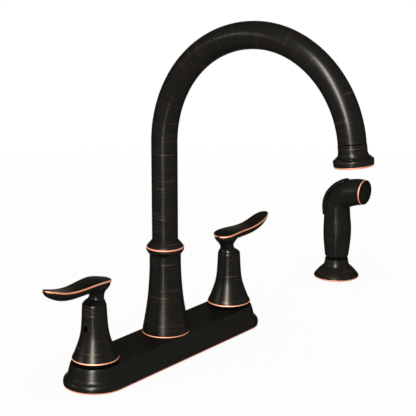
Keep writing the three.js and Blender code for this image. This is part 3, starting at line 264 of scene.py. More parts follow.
def bronze_material(name, amount):
    material, tree, shader = new_material(name)
    space = add(tree, "ShaderNodeAttribute", attribute_name="brush").outputs["Vector"]
    rim = add(tree, "ShaderNodeAttribute", attribute_name="rim").outputs["Fac"]
    size = {"Brush": space, "Length": STREAK_LENGTH, "Width": STREAK_WIDTH}
    marks = add(tree, "ShaderNodeGroup", size, node_tree=brush_streaks).outputs
    border = {"Rim": rim, "Brush": space, "Wander": EDGE_WANDER}
    bare = add(tree, "ShaderNodeGroup", border, node_tree=copper_edge).outputs["Edge"]
    faint = maths(tree, "MULTIPLY", marks["Haze"], WARM_SHARE)
    cut = maths(tree, "MULTIPLY", marks["Streaks"], amount)
    coat = blended(tree, cut, blended(tree, faint, DARK_COAT, WARM_COAT), STREAK_COPPER)
    rough = ranged(tree, marks["Haze"], 0.0, 1.0, *COAT_ROUGHNESS)
    worn = maths(tree, "MULTIPLY", bare, COPPER_ROUGHNESS)
    feed(tree, shader, {
        "Base Color": blended(tree, bare, coat, COPPER),
        "Roughness": maths(tree, "ADD", rough, worn),
        "Metallic": ranged(tree, bare, 0.0, 1.0, COAT_METAL, 1.0),
        "Specular Tint": EDGE_TINT,
        "Specular IOR Level": 0.0,
        "Normal": bumped(tree, marks["Grain"], *GRAIN_BUMP),
    })
    return material

STREAK_AMOUNTS = {"dark_bronze": 0.75, "calm_bronze": 0.25}
finishes = {name: bronze_material(name, amount) for name, amount in STREAK_AMOUNTS.items()}
print("materials", sorted(finishes))

# %% [markdown]
# ## The plainer materials
# Rubber, plastic, brass, steel and ceramic could each be one flat colour, but nothing
# real is. Colour drifts, roughness varies, and a bump has the scale of the real
# surface: a mould's grain on plastic, turning marks on brass. One function makes them.

# %% Plain materials
GRAIN, TURNED = (900, 900, 900), (90, 90, 2600)
DRIFT_SCALE, ROUGHNESS_SPREAD = 60.0, 0.06

# Light and dark colour, roughness, metal, sheen, pattern, bump strength, bump depth
PLAIN_MATERIALS = {
    "black_rubber": ((0.022,) * 3, (0.012,) * 3, 0.72, 0.0, 0.0, GRAIN, 0.3, 0.0001),
    # Black plastic is nearly black: partly its own colour, partly painted shade in the gap under
    # each hub
    "black_plastic": ((0.007,) * 3, (0.004,) * 3, 0.55, 0.0, 0.0, GRAIN, 0.2, 0.00008),
    "plain_brass": (
        (0.62, 0.44, 0.18), (0.50, 0.34, 0.13), 0.33, 1.0, 0.5, TURNED, 0.25, 0.00006),
    "satin_steel": (
        (0.56, 0.56, 0.55), (0.44, 0.44, 0.43), 0.3, 1.0, 0.5, TURNED, 0.2, 0.00005),
    # The set screws' black is partly their own black oxide, partly painted shade in their deep
    # holes
    "black_steel_and_hole_shade": ((0.02,) * 3, (0.012,) * 3, 0.35, 1.0, 0.0, TURNED, 0.2, 0.00005),
    "white_ceramic": (
        (0.86, 0.84, 0.80), (0.80, 0.78, 0.73), 0.22, 0.0, 0.5, GRAIN, 0.05, 0.00003),
}

def object_space(tree):
    return add(tree, "ShaderNodeTexCoord").outputs["Object"]

def plain_material(name, light, dark, rough, metal, sheen, pattern, strength, depth):
    material, tree, shader = new_material(name)
    place = object_space(tree)
    stretched = add(tree, "ShaderNodeMapping", {"Vector": place, "Scale": pattern})
    fine = noise(tree, stretched.outputs[0], 1.0, 4.0)
    feed(tree, shader, {
        "Base Color": blended(tree, noise(tree, place, DRIFT_SCALE), dark, light),
        "Roughness": ranged(
            tree, fine, 0.3, 0.7, rough - ROUGHNESS_SPREAD, rough + ROUGHNESS_SPREAD),
        "Metallic": metal,
        "Specular IOR Level": sheen,
        "Normal": bumped(tree, fine, strength, depth),
    })
    return material

for name, values in PLAIN_MATERIALS.items():
    finishes[name] = plain_material(name, *values)
print("materials", sorted(finishes))

# %% [markdown]
# ## Dressing the CAD nodes
# The working parts inside keep their CAD solids, since nobody sees them before the faucet
# is taken apart. Each takes the material that the record names for it.

# %% Node materials
SLOT_FINISHES = {"ceramic": "white_ceramic", "steel": "satin_steel"}
for part in frame["record"]["subparts"]:
    slot = part["material_slot"]
    materials = nodes[part["node"]].data.materials
    materials.clear()
    materials.append(finishes[SLOT_FINISHES.get(slot, slot)])

# %% [markdown]
# ## Smooth outlines
# A turned piece is drawn as a half outline. Handles at each point could shape it, but each
# would need two more numbers. Here a smooth curve runs through the points by itself, and
# a point that is written twice is a corner.

# %% Outline helpers
def curve_through(points, steps):
    """Points on a smooth curve through the given ones, in any number of dimensions."""
    result = []
    last = len(points) - 1
    for i in range(last):
        before = points[max(i - 1, 0)]
        after = points[min(i + 2, last)]
        a, b = points[i], points[i + 1]
        span = math.dist(a, b) or 1e-9
        lead = span / (span + (math.dist(before, a) or span))
        tail = span / (span + (math.dist(b, after) or span))
        start = [(q - p) * lead for p, q in zip(before, b)]
        end = [(q - p) * tail for p, q in zip(a, after)]
        for k in range(steps):
            t = k / steps
            h = (2*t**3 - 3*t**2 + 1, t**3 - 2*t**2 + t, 3*t**2 - 2*t**3, t**3 - t**2)
            row = [h[0]*p + h[1]*m + h[2]*q + h[3]*n for p, m, q, n in zip(a, start, b, end)]
            result.append(tuple(row))
    result.append(tuple(points[last]))
    return result

def outline(points, steps=5):
    """A smooth outline, broken wherever a point is repeated."""
    runs = [[points[0]]]
    for previous, point in zip(points, points[1:]):
        if point == previous:
            runs.append([point])
        else:
            runs[-1].append(point)
    result = []
    for run in runs:
        piece = curve_through(run, steps) if len(run) > 2 else list(run)
        if result and math.dist(result[-1], piece[0]) < 1e-6:
            piece = piece[1:]
        result.extend(piece)
    return result

print("a test outline has", len(outline([(0, 0), (1, 1), (2, 1)])), "points")

# %% [markdown]
# ## Where the copper shows
# A rim mark is a radius and a height on the outline, and how far round it the coat is
# gone. A value on points can't be sharper than the points are close, so the outline
# gets short steps near each mark, which is cheaper than short steps everywhere.

# %% Copper marks
FEATHER, FINE_STEP, FINE_REACH = 0.35, 0.2, 1.5

def rim_value(point, rims):
    """One on a copper mark, fading to nothing over the feather, in millimetres."""
    best = 0.0
    for mark in rims:
        distance = math.dist(point, mark[:2]) - mark[2]
        best = max(best, 1.0 - distance / FEATHER)
    return min(max(best, 0.0), 1.0)

def subdivided(points, rims):
    """The outline with short steps near each copper mark, so its border is sharp."""
    result = [points[0]]
    for a, b in zip(points, points[1:]):
        near = any(
            min(math.dist(a, m[:2]), math.dist(b, m[:2])) < m[2] + FINE_REACH for m in rims)
        steps = max(1, math.ceil(math.dist(a, b) / FINE_STEP)) if near else 1
        for k in range(1, steps + 1):
            result.append(tuple(p + (q - p) * k / steps for p, q in zip(a, b)))
    return result

print("a marked edge has", len(subdivided([(0, 0), (5, 0)], [(0, 0, 0.8)])), "points")

# %% [markdown]
# ## Making a mesh piece
# Each piece is one mesh at the origin with its place in its points. Ready shapes could
# be joined up, but a skin over rings of points gives each section its true size. A
# bronze piece also carries two values of its own: brush, the straightened space for
# streaks, and rim, the copper line.

# %% Mesh helpers
SHARP, SOFT_SHARP, TINY = 35, 50, 1e-4

def softened(mesh, sharp):
    mesh.shade_smooth()
    mesh.set_sharp_from_angle(angle=math.radians(sharp))

def cleaned(bm, mesh):
    """Merges doubles, turns faces outward and writes the result into a mesh."""
    bmesh.ops.remove_doubles(bm, verts=bm.verts, dist=1e-6)
    bmesh.ops.recalc_face_normals(bm, faces=bm.faces)
    bm.to_mesh(mesh)
    bm.free()

def lofted(name, rings, finish, ends="capped", sharp=SHARP, values=None):
    """A skin through rings of points in millimetres, with ends capped, joined or open.

    The values, where there are some, are a brush place and a copper share per point."""
    bm = bmesh.new()
    if values:
        brush = bm.verts.layers.float_vector.new("brush")
        rim = bm.verts.layers.float.new("rim")
    loops = [[bm.verts.new(Vector(point) * MM) for point in ring] for ring in rings]
    if values:
        for vert, (place, share) in zip(sum(loops, []), sum(values, [])):
            vert[brush], vert[rim] = Vector(place) * MM, share
    pairs = list(zip(loops, loops[1:]))
    if ends == "joined":
        pairs.append((loops[-1], loops[0]))
    elif ends == "capped":
        bm.faces.new(loops[0][::-1])
        bm.faces.new(loops[-1])
    for low, high in pairs:
        for i in range(len(low)):
            j = (i + 1) % len(low)
            bm.faces.new((low[i], low[j], high[j], high[i]))
    mesh = bpy.data.meshes.new(name)
    cleaned(bm, mesh)
    mesh.materials.append(finishes[finish])
    softened(mesh, sharp)
    return linked(name, mesh)

print("mesh helpers ready")

# %% [markdown]
# ## Turned pieces
# Most of a faucet comes off a lathe. A Screw modifier could turn an outline, but it has
# no way to cut a thread or six flats. Here a function gives the radius at each share of
# a turn, so a plain side, a thread and a hexagon are all the same kind of piece.

# %% Turning
def circle_points(count):
    return [(math.cos(2*math.pi*i/count), math.sin(2*math.pi*i/count)) for i in range(count)]

def rings_about(axis, rows, around, radius_at):
    """A ring for each row, which ends in its height, with its radius from the function."""
    rings = []
    for row in rows:
        ring = []
        for i, (x, y) in enumerate(circle_points(around)):
            out = radius_at(i / around, *row)
            ring.append((axis[0] + out * x, axis[1] + out * y, row[-1]))
        rings.append(ring)
    return rings

def turned(name, profile, axis, finish, rims=(), around=96, groove=None):
    """A turned piece from a half outline that is closed, or starts and ends on the axis."""
    points = subdivided(profile, rims)
    if math.dist(points[0], points[-1]) < 1e-6:
        points.pop()
    def radius_at(turn, r, z):
        return max(r - (groove(turn, r, z) if groove else 0.0), TINY)
    rings = rings_about(axis, points, around, radius_at)
    return lofted(name, rings, finish, "joined" if points[0][0] else "capped")

print("a circle of 4 points", [(round(x), round(y)) for x, y in circle_points(4)])

# %% [markdown]
# ## Brush space and bodies
# On a turned piece the brush space is the piece's own place about its axis. It is shifted
# by the axis, because two hubs with the same streaks would look stamped.

# %% Values and bodies
STREAK_SHIFT = 0.37

def painted(piece, brush_at, rim_at=None):
    """Writes the brush space and the copper line as values on the piece's points."""
    mesh = piece.data
    brushes, rims = [], []
    for vert in mesh.vertices:
        point = vert.co / MM
        brushes.extend(v * MM for v in brush_at(point))
        rims.append(rim_at(point) if rim_at else 0.0)
    mesh.attributes.new("brush", "FLOAT_VECTOR", "POINT")
    mesh.attributes.new("rim", "FLOAT", "POINT")
    mesh.attributes["brush"].data.foreach_set("vector", brushes)
    mesh.attributes["rim"].data.foreach_set("value", rims)
    return piece

def around_axis(piece, axis, rims=()):
    """Paints a turned piece: streaks run round it, and copper lies on its marks."""
    def brush_at(p):
        return (p.x - axis[0], p.y - axis[1], p.z + STREAK_SHIFT * axis[0])
    def rim_at(p):
        return rim_value((math.hypot(p.x - axis[0], p.y - axis[1]), p.z), rims)
    return painted(piece, brush_at, rim_at)

def bronze_turned(name, profile, axis, rims, groove=None):
    piece = turned(name, profile, axis, "dark_bronze", rims, groove=groove)
    return around_axis(piece, axis, rims)

def belongs(piece, body, slot, *replaced):
    """The piece rides on a body and stands for CAD nodes. Its slot is not used."""
    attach(piece, body)
    if replaced:
        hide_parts(*replaced)
    print(piece.name, len(piece.data.polygons), "faces on", body)

# %% [markdown]
# ## Cutting holes
# A hole through a curved side is hard to loft, so it is drilled as a maker would: a rod
# is taken away from the piece. The exact solver is slower than the fast one, but it
# leaves no gaps where surfaces meet at a small angle.

# %% Cutting
def modifier_applied(piece):
    """Bakes the piece's modifiers into its mesh."""
    graph = bpy.context.evaluated_depsgraph_get()
    mesh = bpy.data.meshes.new_from_object(piece.evaluated_get(graph))
    piece.modifiers.clear()
    old = piece.data
    piece.data = mesh
    bpy.data.meshes.remove(old)

def carved(piece, tool, sharp=SHARP):
    """Cuts one mesh out of another and drops the tool."""
    step = piece.modifiers.new("carve", "BOOLEAN")
    step.operation, step.object, step.solver = "DIFFERENCE", tool, "EXACT"
    modifier_applied(piece)
    bpy.data.objects.remove(tool)
    softened(piece.data, sharp)
    return piece

def upright_rod(radius, start, end, place, around=32):
    """A rod for cutting from one height to another, at a place in millimetres."""
    rings = rings_about(place, [(start,), (end,)], around, lambda turn, z: radius)
    return lofted("tool", rings, "dark_bronze")

def level_rod(radius, start, end, centre, around=32):
    """A rod for cutting along X, from one distance to another from its centre."""
    rings = []
    for x in (start, end):
        rings.append([(centre[0] + x, centre[1] + radius * y, centre[2] + radius * z)
                      for y, z in circle_points(around)])
    return lofted("tool", rings, "dark_bronze")

print("cutting helpers ready")

# %% [markdown]
# ## The deck plate
# The plate is a long cover with round ends: an upright band, a rounded step, a hollow
# and then a slope up to the flat top. A bevelled box has no such hollow. It is a thin
# shell, open below, so it is lofted as one closed run that goes up the inside and comes
# down the outside.

# %% Deck plate
PLATE_LIFT, PLATE_EDGE, PLATE_WALL, PLATE_HOLE = 0.4, 29.3, 2.2, 14.6
PLATE_CREST = PLATE_TOP - PLATE_LIFT
PLATE_SKIN = [
    (-1.0, 0), (0.0, 0), (0.0, 0), (0.35, 1.2), (0.5, 3.0), (0.3, 4.8), (-0.45, 6.4),
    (-1.7, 7.7), (-2.9, 8.9), (-3.7, 10.4), (-4.2, 12.2), (-5.0, 15.2), (-5.9, 18.6),
    (-6.4, 20.0), (-7.1, 20.9), (-8.2, PLATE_CREST),
]
PLATE_MARK, PLATE_SLOPE, PLATE_CUT = (0.1, 0.35, 0.62), 0.8, (15, 30)
ROUND_END_STEPS = 40

def stadium(distance):
    """Points at a distance round the line between the two handles."""
    spots = []
    for side in (1, -1):
        for i in range(ROUND_END_STEPS + 1):
            angle = math.pi * (i / ROUND_END_STEPS - 0.5)
            x = side * (HANDLE_X + distance * math.cos(angle))
            spots.append((x, side * distance * math.sin(angle)))
    return spots

def deck_plate():
    outside = subdivided(outline(PLATE_SKIN), [PLATE_MARK])
    inside = [(out - PLATE_WALL, min(up, PLATE_CREST - PLATE_WALL))
              for out, up in outline(PLATE_SKIN[2:], 2)]
    rings = []
    for out, up in inside[::-1] + outside:
        rings.append([(x, y, up + PLATE_LIFT) for x, y in stadium(PLATE_EDGE + out)])
    plate = lofted("plate_cover", rings, "calm_bronze", sharp=SOFT_SHARP)
    for x in (-HANDLE_X, 0.0, HANDLE_X):
        carved(plate, upright_rod(PLATE_HOLE, *PLATE_CUT, (x, 0), 64), sharp=SOFT_SHARP)
    return plate

def plate_brush(p):
    """Streaks run along the plate."""
    return (p.x, 0.0, p.y + PLATE_SLOPE * p.z)

def plate_rim(p):
    distance = math.hypot(max(abs(p.x) - HANDLE_X, 0.0), p.y)
    return rim_value((distance - PLATE_EDGE, p.z - PLATE_LIFT), [PLATE_MARK])

belongs(painted(deck_plate(), plate_brush, plate_rim), "deck", "dark_bronze", "deck_plate")

# %% [markdown]
# ## The handle hubs
# Each lever stands on a hub that is turned from one blank: a wide foot, a concave side
# like a tulip and a straight shoulder. Only the outside shows, but the cavity that
# clears the valve is turned with it, so the wall is as thin as a real one. A set screw
# holds the hub from its outer side. The foot's lower edge is copper.

# %% Handle hubs
RING_BOTTOM = PLATE_TOP + GAP
RING_TOP = RING_BOTTOM + 2.9
HUB_BOTTOM, HUB_TOP = RING_TOP + GAP, 77.5
HUB_SKIN = [
    (21.1, HUB_BOTTOM), (21.6, 25.3), (21.6, 25.3), (20.8, 27.2), (19.4, 29.9),
    (17.9, 33.7), (16.3, 38), (15.0, 41.8), (13.9, 45.5), (13.0, 49.8), (12.35, 55),
    (11.95, 60), (11.65, 64.6), (11.3, 72), (11.1, 75.2), (11.1, 75.2), (10.8, 76.4),
    (10.2, 77.1), (9.4, HUB_TOP), (9.4, HUB_TOP),
]
HUB_CAVITY = [
    (0, 68.2), (4.3, 68.2), (4.3, 52), (9.2, 52), (11.4, 45), (15.2, 35.5),
    (19.4, HUB_BOTTOM),
]
HUB_SOCKET, HUB_SOCKET_DEPTH = 3.3, 7
HUB_MARKS = [(21.4, 25.1, 0.85)]
SCREW_HEIGHT, SCREW_HOLE, SCREW_REACH = 55.5, 2.6, (5.0, 20.0)

def hub(side):
    floor = HUB_TOP - HUB_SOCKET_DEPTH
    socket = [(HUB_SOCKET, HUB_TOP), (HUB_SOCKET, floor), (0, floor)]
    axis = handle_axis(side)
    profile = HUB_CAVITY + outline(HUB_SKIN) + socket
    piece = turned(f"{side}_hub_skin", profile, axis, "dark_bronze", HUB_MARKS)
    reach = sorted(SIDES[side] * x for x in SCREW_REACH)
    carved(piece, level_rod(SCREW_HOLE, *reach, (*axis, SCREW_HEIGHT), 40))
    return around_axis(piece, axis, HUB_MARKS)

for side in SIDES:
    belongs(hub(side), f"{side}_handle", "dark_bronze", f"{side}_hub")

# %% [markdown]
# ## The black rings under the hubs
# A plastic ring lies between the plate and each hub, set back a little, so the hub
# seems to stand on a dark line. The ring's near-black colour is partly its own and partly
# painted shade of that gap. A Bevel modifier could round its corners, but arcs in
# the outline serve every washer below too.

# %% Base rings
CORNER_STEPS = 4

def ring_profile(inner, outer, bottom, top, corner):
    """A washer's half outline with round corners."""
    spots = []
    for cx, cy, first in (
        (outer - corner, bottom + corner, -90),
        (outer - corner, top - corner, 0),
        (inner + corner, top - corner, 90),
        (inner + corner, bottom + corner, 180),
    ):
        for k in range(CORNER_STEPS + 1):
            a = math.radians(first + 90 * k / CORNER_STEPS)
            spots.append((cx + corner * math.cos(a), cy + corner * math.sin(a)))
    return spots + [spots[0]]

for side in SIDES:
    profile = ring_profile(14.3, 20.5, RING_BOTTOM, RING_TOP, 0.5)
    ring = turned(f"{side}_ring", profile, handle_axis(side), "black_plastic")
    belongs(ring, "deck", "black_plastic", f"{side}_base_ring")

# %% [markdown]
# ## The lever paddles
# A lever is a long spoon laid on its back: a slightly domed top, a crisp edge that was
# rubbed to copper and a deep rounded underside. Sculpting could give the form, but not
# twice the same. It is drawn from sections along its length, each with a half width, the
# height of its edge and a depth.

# %% Lever paddles
LEVER_STATIONS = [
    (-18.2, 0.8, 96.3, 0.8), (-17.2, 4.6, 96.4, 2.8), (-15, 8, 96.7, 4.6),
    (-12, 10.2, 97.1, 6), (-7.5, 11.5, 97.7, 7.6), (-2, 11.7, 98.1, 8.8),
    (5, 11.2, 98.1, 9.5), (11.8, 10.6, 97.9, 9.6), (19.5, 9.9, 97.5, 9.3),
    (27.2, 9.3, 97.4, 9.2), (34.9, 9, 97.9, 9.3), (42.5, 8.9, 99.1, 9.2),
    (48.9, 8.6, 100.6, 8.8), (54.4, 7.7, 102.3, 7.9), (59, 6.1, 103.6, 6.6),
    (62.2, 3.9, 104.4, 4.6), (63.9, 0.8, 104.7, 1),
]
LEVER_CROWN, LEVER_SLOPE = 0.5, 0.7
# In from the edge, up from it, and whether the coat is gone
EDGE_BAND = [(0.55, 0.12, 0.0), (0.35, 0.1, 1.0), (0.06, 0.0, 1.0), (0.0, -0.4, 1.0),
             (0.06, -1.15, 1.0), (0.14, -1.45, 0.0)]

def lever_section(half, depth):
    """Points round one section as across, up and rim, from the +Y edge over the top."""
    band = min(1.0, half / 3.0)
    side = [(half - band * a, band * b, c) for a, b, c in EDGE_BAND]
    spots = []
    for k in range(1, 12):
        across = 1 - k / 6
        dome = LEVER_CROWN * (1 - across * across) * min(1.0, half / 6)
        spots.append(((half - band * EDGE_BAND[0][0]) * across, dome + band * EDGE_BAND[0][1], 0.0))
    spots += [(-y, z, rim) for y, z, rim in side]
    for k in range(2, 23):
        angle = math.pi * k / 24
        spots.append((-half * math.cos(angle), -depth * math.sin(angle), 0.0))
    return spots + side[::-1]

def lever_paddle(side):
    rings, values = [], []
    for along, half, up, depth in curve_through(LEVER_STATIONS, 6):
        spots = lever_section(half, depth)
        x = SIDES[side] * (HANDLE_X + along)
        rings.append([(x, y, up + z) for y, z, rim in spots])
        values.append([((x, 0.0, y + LEVER_SLOPE * (up + z)), rim) for y, z, rim in spots])
    return lofted(f"{side}_paddle", rings, "dark_bronze", sharp=SOFT_SHARP, values=values)

print("sections in a paddle", len(curve_through(LEVER_STATIONS, 6)))

# %% [markdown]
# ## The lever necks
# The neck rises from the hub, draws in to a waist and widens into the paddle's underside
# while it leans back. Its sections are ellipses that hide their top end in the paddle,
# which saves a cut where the two meet.

# %% Lever necks
NECK_STATIONS = [
    (77.8, -0.5, 9.8, 10.2), (79, -1.2, 8.6, 9.1), (80.5, -2.4, 7.1, 7.8),
    (82, -3.1, 6.8, 7.1), (84, -3.6, 7.4, 6.6), (86, -3.8, 8.3, 6.9), (88, -4, 9.6, 8.1),
    (90, -4.3, 11.3, 9.6), (92, -4.4, 12.6, 10.9), (93.8, -4.3, 13.2, 11.3),
    (95.4, -4.2, 13.3, 11.2),
]

def lever_neck(side):
    rings = []
    for up, centre, length, width in curve_through(NECK_STATIONS, 5):
        x = SIDES[side] * (HANDLE_X + centre)
        rings.append([(x + length * c, width * s, up) for c, s in circle_points(64)])
    return around_axis(lofted(f"{side}_neck", rings, "dark_bronze"), handle_axis(side))

for side in SIDES:
    for piece in (lever_paddle(side), lever_neck(side)):
        belongs(piece, f"{side}_handle", "dark_bronze", f"{side}_lever")

# %% [markdown]
# ## The trumpet foot
# The spout stands in a long foot that flares like a trumpet bell onto the plate. Its
# lower edge is copper like the hubs' edges. It is turned with its throat, because the
# spout's stem and its bearing run up inside.

# %% Trumpet foot
BASE_BOTTOM, BASE_TOP = PLATE_TOP + GAP, 104.9
BASE_SKIN = [
    (22.1, BASE_BOTTOM), (22.7, 22.2), (22.7, 22.2), (22.35, 24.6), (21.6, 28.6),
    (20.2, 36.4), (18.8, 44.4), (17.6, 52.5), (16.65, 60.5), (15.95, 68.5),
    (15.4, 76.5), (15.05, 84.3), (14.9, 92.3), (14.9, 98.2), (14.9, 98.2), (15.1, 99.1),
    (16.5, 100.9), (17.65, 102.8), (18.05, 103.9), (18.05, 104.4), (18.05, 104.4),
    (17.55, BASE_TOP), (17.55, BASE_TOP),
]
BASE_THROAT = [
    (12.9, BASE_TOP), (12.9, 60.5), (16.4, 42), (20.4, BASE_BOTTOM), (22.1, BASE_BOTTOM)]
BASE_MARKS = [(22.4, 21.95, 0.85)]
trumpet = bronze_turned(
    "trumpet_foot", outline(BASE_SKIN, 6) + BASE_THROAT, MIDDLE_AXIS, BASE_MARKS)
belongs(trumpet, "deck", "dark_bronze", "spout_base")

# %% [markdown]
# ## The swivel collar
# The collar turns with the spout on top of the foot, and a thin shadow line parts the
# two. It could be part of the foot in a still picture, but it rides on another body.

# %% Swivel collar
COLLAR_BOTTOM, COLLAR_TOP = BASE_TOP + GAP, 112.2
COLLAR_SKIN = [
    (17.3, COLLAR_BOTTOM), (17.9, 105.5), (17.9, 105.5), (17.9, 106.2), (17.9, 106.2),
    (17.3, 106.6), (17.3, 106.6), (17.3, 106.9), (16.65, 107.9), (15.25, 109.6),
    (13.9, 111.1), (13, COLLAR_TOP), (13, COLLAR_TOP),
]
COLLAR_BORE = [(12.65, COLLAR_TOP), (12.65, COLLAR_BOTTOM), (17.3, COLLAR_BOTTOM)]
collar = bronze_turned(
    "collar_ring", outline(COLLAR_SKIN) + COLLAR_BORE, MIDDLE_AXIS, [(17.7, 105.75, 0.85)])
belongs(collar, "spout", "dark_bronze", "swivel_collar")

# %% [markdown]
# ## The spout's line
# One tube is bent twice: a rising quarter and a slightly tighter falling one that stops
# seven degrees short, so the outlet leans out. A curve with handles only comes close to
# an arc, so the line that the tube follows is worked out point by point.

# %% Spout line
TUBE_RADIUS, TUBE_FOOT, RISER_TOP = 12.3, 105.3, 205.3
REAR_BEND, FRONT_BEND, OUTLET_LEAN = 109.7, 93.9, 7.0
STRAIGHT_STEPS, BEND_STEPS = 40, 72

def spout_line():
    spots = []
    for k in range(STRAIGHT_STEPS + 1):
        spots.append((0.0, TUBE_FOOT + (RISER_TOP - TUBE_FOOT) * k / STRAIGHT_STEPS))
    for k in range(1, BEND_STEPS + 1):
        t = math.pi / 2 * k / BEND_STEPS
        spots.append((REAR_BEND * (1 - math.cos(t)), RISER_TOP + REAR_BEND * math.sin(t)))
    crown = RISER_TOP + REAR_BEND
    for k in range(1, BEND_STEPS + 1):
        t = math.radians(90 - OUTLET_LEAN) * k / BEND_STEPS
        spots.append((REAR_BEND + FRONT_BEND * math.sin(t),
                      crown - FRONT_BEND * (1 - math.cos(t))))
    return [(0.0, -out, up) for out, up in spots]

spout_points = spout_line()
OUTLET = spout_points[-1]
print("outlet at", [round(v, 1) for v in OUTLET])

# %% [markdown]
# ## Geometry Nodes on a piece
# A Geometry Nodes group runs as a modifier. Its inputs are set by their identifiers, and
# its result becomes the piece's own mesh. Every group here ends in the same two nodes:
# one makes copies real, because mere instances would be lost, and one gives the
# material.

# %% Geometry Nodes helpers
def geometry_end(tree, geometry, finish):
    real = add(tree, "GeometryNodeRealizeInstances", {0: geometry})
    dress = add(tree, "GeometryNodeSetMaterial", {0: real.outputs[0], "Material": finish})
    add(tree, "NodeGroupOutput", {0: dress.outputs[0]})

def grown(piece, group, inputs):
    """Runs a group on the piece, keeps the result as its mesh and cleans that."""
    tree, keys = group
    step = piece.modifiers.new("grow", "NODES")
    step.node_group = tree
    for label, value in inputs.items():
        step[keys[label]] = value
    modifier_applied(piece)
    bm = bmesh.new()
    bm.from_mesh(piece.data)
    cleaned(bm, piece.data)
    softened(piece.data, SHARP)
    return piece

print("geometry helpers ready")

# %% [markdown]
# ## The spout's tube
# Geometry Nodes sweep a circle along the line. A curve's own bevel would do the same, but
# it can't write the brush space. Here the line keeps how far along it each point is, the
# circle keeps where round it each point is, and both reach the tube's skin.

# %% Spout tube
def captured(tree, geometry, kind, value):
    """Keeps a value on the geometry's points: gives the geometry and the kept value."""
    keep = add(tree, "GeometryNodeCaptureAttribute", domain="POINT")
    keep.capture_items.new(kind, "Kept")
    feed(tree, keep, {0: geometry, 1: value})
    return keep.outputs[0], keep.outputs[1]

def sweep_group():
    tree, given, keys = node_group(
        "GeometryNodeTree", "swept_tube",
        [("Line", GEOMETRY), ("Tube radius", FLOAT), ("Sides", WHOLE), ("Finish", MATERIAL)],
        [("Tube", GEOMETRY)])
    curve = add(tree, "GeometryNodeMeshToCurve", {0: given["Line"]}).outputs[0]
    length = add(tree, "GeometryNodeSplineParameter").outputs["Length"]
    line, run = captured(tree, curve, "FLOAT", length)
    size = {"Resolution": given["Sides"], "Radius": given["Tube radius"]}
    circle = add(tree, "GeometryNodeCurvePrimitiveCircle", size, mode="RADIUS").outputs[0]
    place = add(tree, "GeometryNodeInputPosition").outputs[0]
    rim, turn = captured(tree, circle, "VECTOR", place)
    ends = {"Curve": line, "Profile Curve": rim, "Fill Caps": True}
    skin = add(tree, "GeometryNodeCurveToMesh", ends).outputs[0]
    split = add(tree, "ShaderNodeSeparateXYZ", {0: turn}).outputs
    space = {"X": split["X"], "Y": split["Y"], "Z": run}
    brush = add(tree, "ShaderNodeCombineXYZ", space).outputs[0]
    for name, kind, value in (("brush", "FLOAT_VECTOR", brush), ("rim", "FLOAT", 0.0)):
        mark = add(tree, "GeometryNodeStoreNamedAttribute", data_type=kind)
        feed(tree, mark, {"Geometry": skin, "Name": name, "Value": value})
        skin = mark.outputs[0]
    geometry_end(tree, skin, given["Finish"])
    return tree, keys

def spout_tube():
    mesh = bpy.data.meshes.new("spout_skin")
    edges = [(i, i + 1) for i in range(len(spout_points) - 1)]
    mesh.from_pydata([Vector(p) * MM for p in spout_points], edges, [])
    return grown(linked("spout_skin", mesh), sweep_group(), {
        "Tube radius": TUBE_RADIUS * MM, "Sides": 96, "Finish": finishes["dark_bronze"]})

belongs(spout_tube(), "spout", "dark_bronze", "spout_tube")

# %% [markdown]
# ## The outlet
# At the end of the spout a short cylinder steps out to a wider band that holds the
# aerator. Drawing it where it leans would need slanted outlines, so its pieces are drawn
# upright, with the stream along -Z, and then carried to the outlet and leaned out with
# it. The lowest edge of the band is copper.

# %% Outlet pieces
LEAN = Matrix.Rotation(math.radians(-OUTLET_LEAN), 4, "X")
OUTLET_MATRIX = Matrix.Translation(Vector(OUTLET) * MM) @ LEAN

def carried(piece, matrix):
    piece.data.transform(matrix)
    return piece

HOUSING_SKIN = [
    (11.9, -0.5), (12.4, -0.9), (12.4, -0.9), (12.55, -4), (12.6, -7.2), (12.75, -8.7),
    (13.2, -10), (14.0, -11.3), (14.9, -12.3), (16.4, -13.3), (17.2, -13.9),
    (17.5, -14.5), (17.5, -14.5), (17.45, -16), (17.2, -19.3), (17.2, -19.3),
    (16.7, -20.1), (16.7, -20.1),
]
HOUSING_BORE = [(15.2, -20.1), (15.2, -12), (10.7, -10), (10.7, -0.5), (11.9, -0.5)]
housing = bronze_turned(
    "outlet_housing", outline(HOUSING_SKIN) + HOUSING_BORE, MIDDLE_AXIS, [(17.0, -19.7, 0.75)])
belongs(carried(housing, OUTLET_MATRIX), "spout", "dark_bronze", "aerator_housing")

# %% [markdown]
# ## The side spray's flange
# The spray rests in a low flange that is a cone with a small shoulder, and a threaded
# shank holds it under the deck. A thread can be a helix that is swept and joined on. It
# is simpler as a groove in the outline: the cut's depth depends on how far the height
# and the turn are apart, and so it climbs one pitch in each turn.

# %% Spray flange
THREAD_PITCH, THREAD_DEPTH, THREAD_STEP = 1.8, 0.8, 0.3

def thread(radius, low, high):
    """Close points up a straight side, and how deep the thread is cut at each place."""
    count = round((high - low) / THREAD_STEP)
    rows = [(radius, low + (high - low) * k / count) for k in range(count + 1)]
    def groove(turn, size, height):
        if abs(size - radius) > 1e-6 or not low <= height <= high:
            return 0.0
        turns = height / THREAD_PITCH
        fade = min(1.0, turns - low / THREAD_PITCH, high / THREAD_PITCH - turns)
        return THREAD_DEPTH * fade * abs(2 * ((turns - turn) % 1.0) - 1)
    return rows, groove

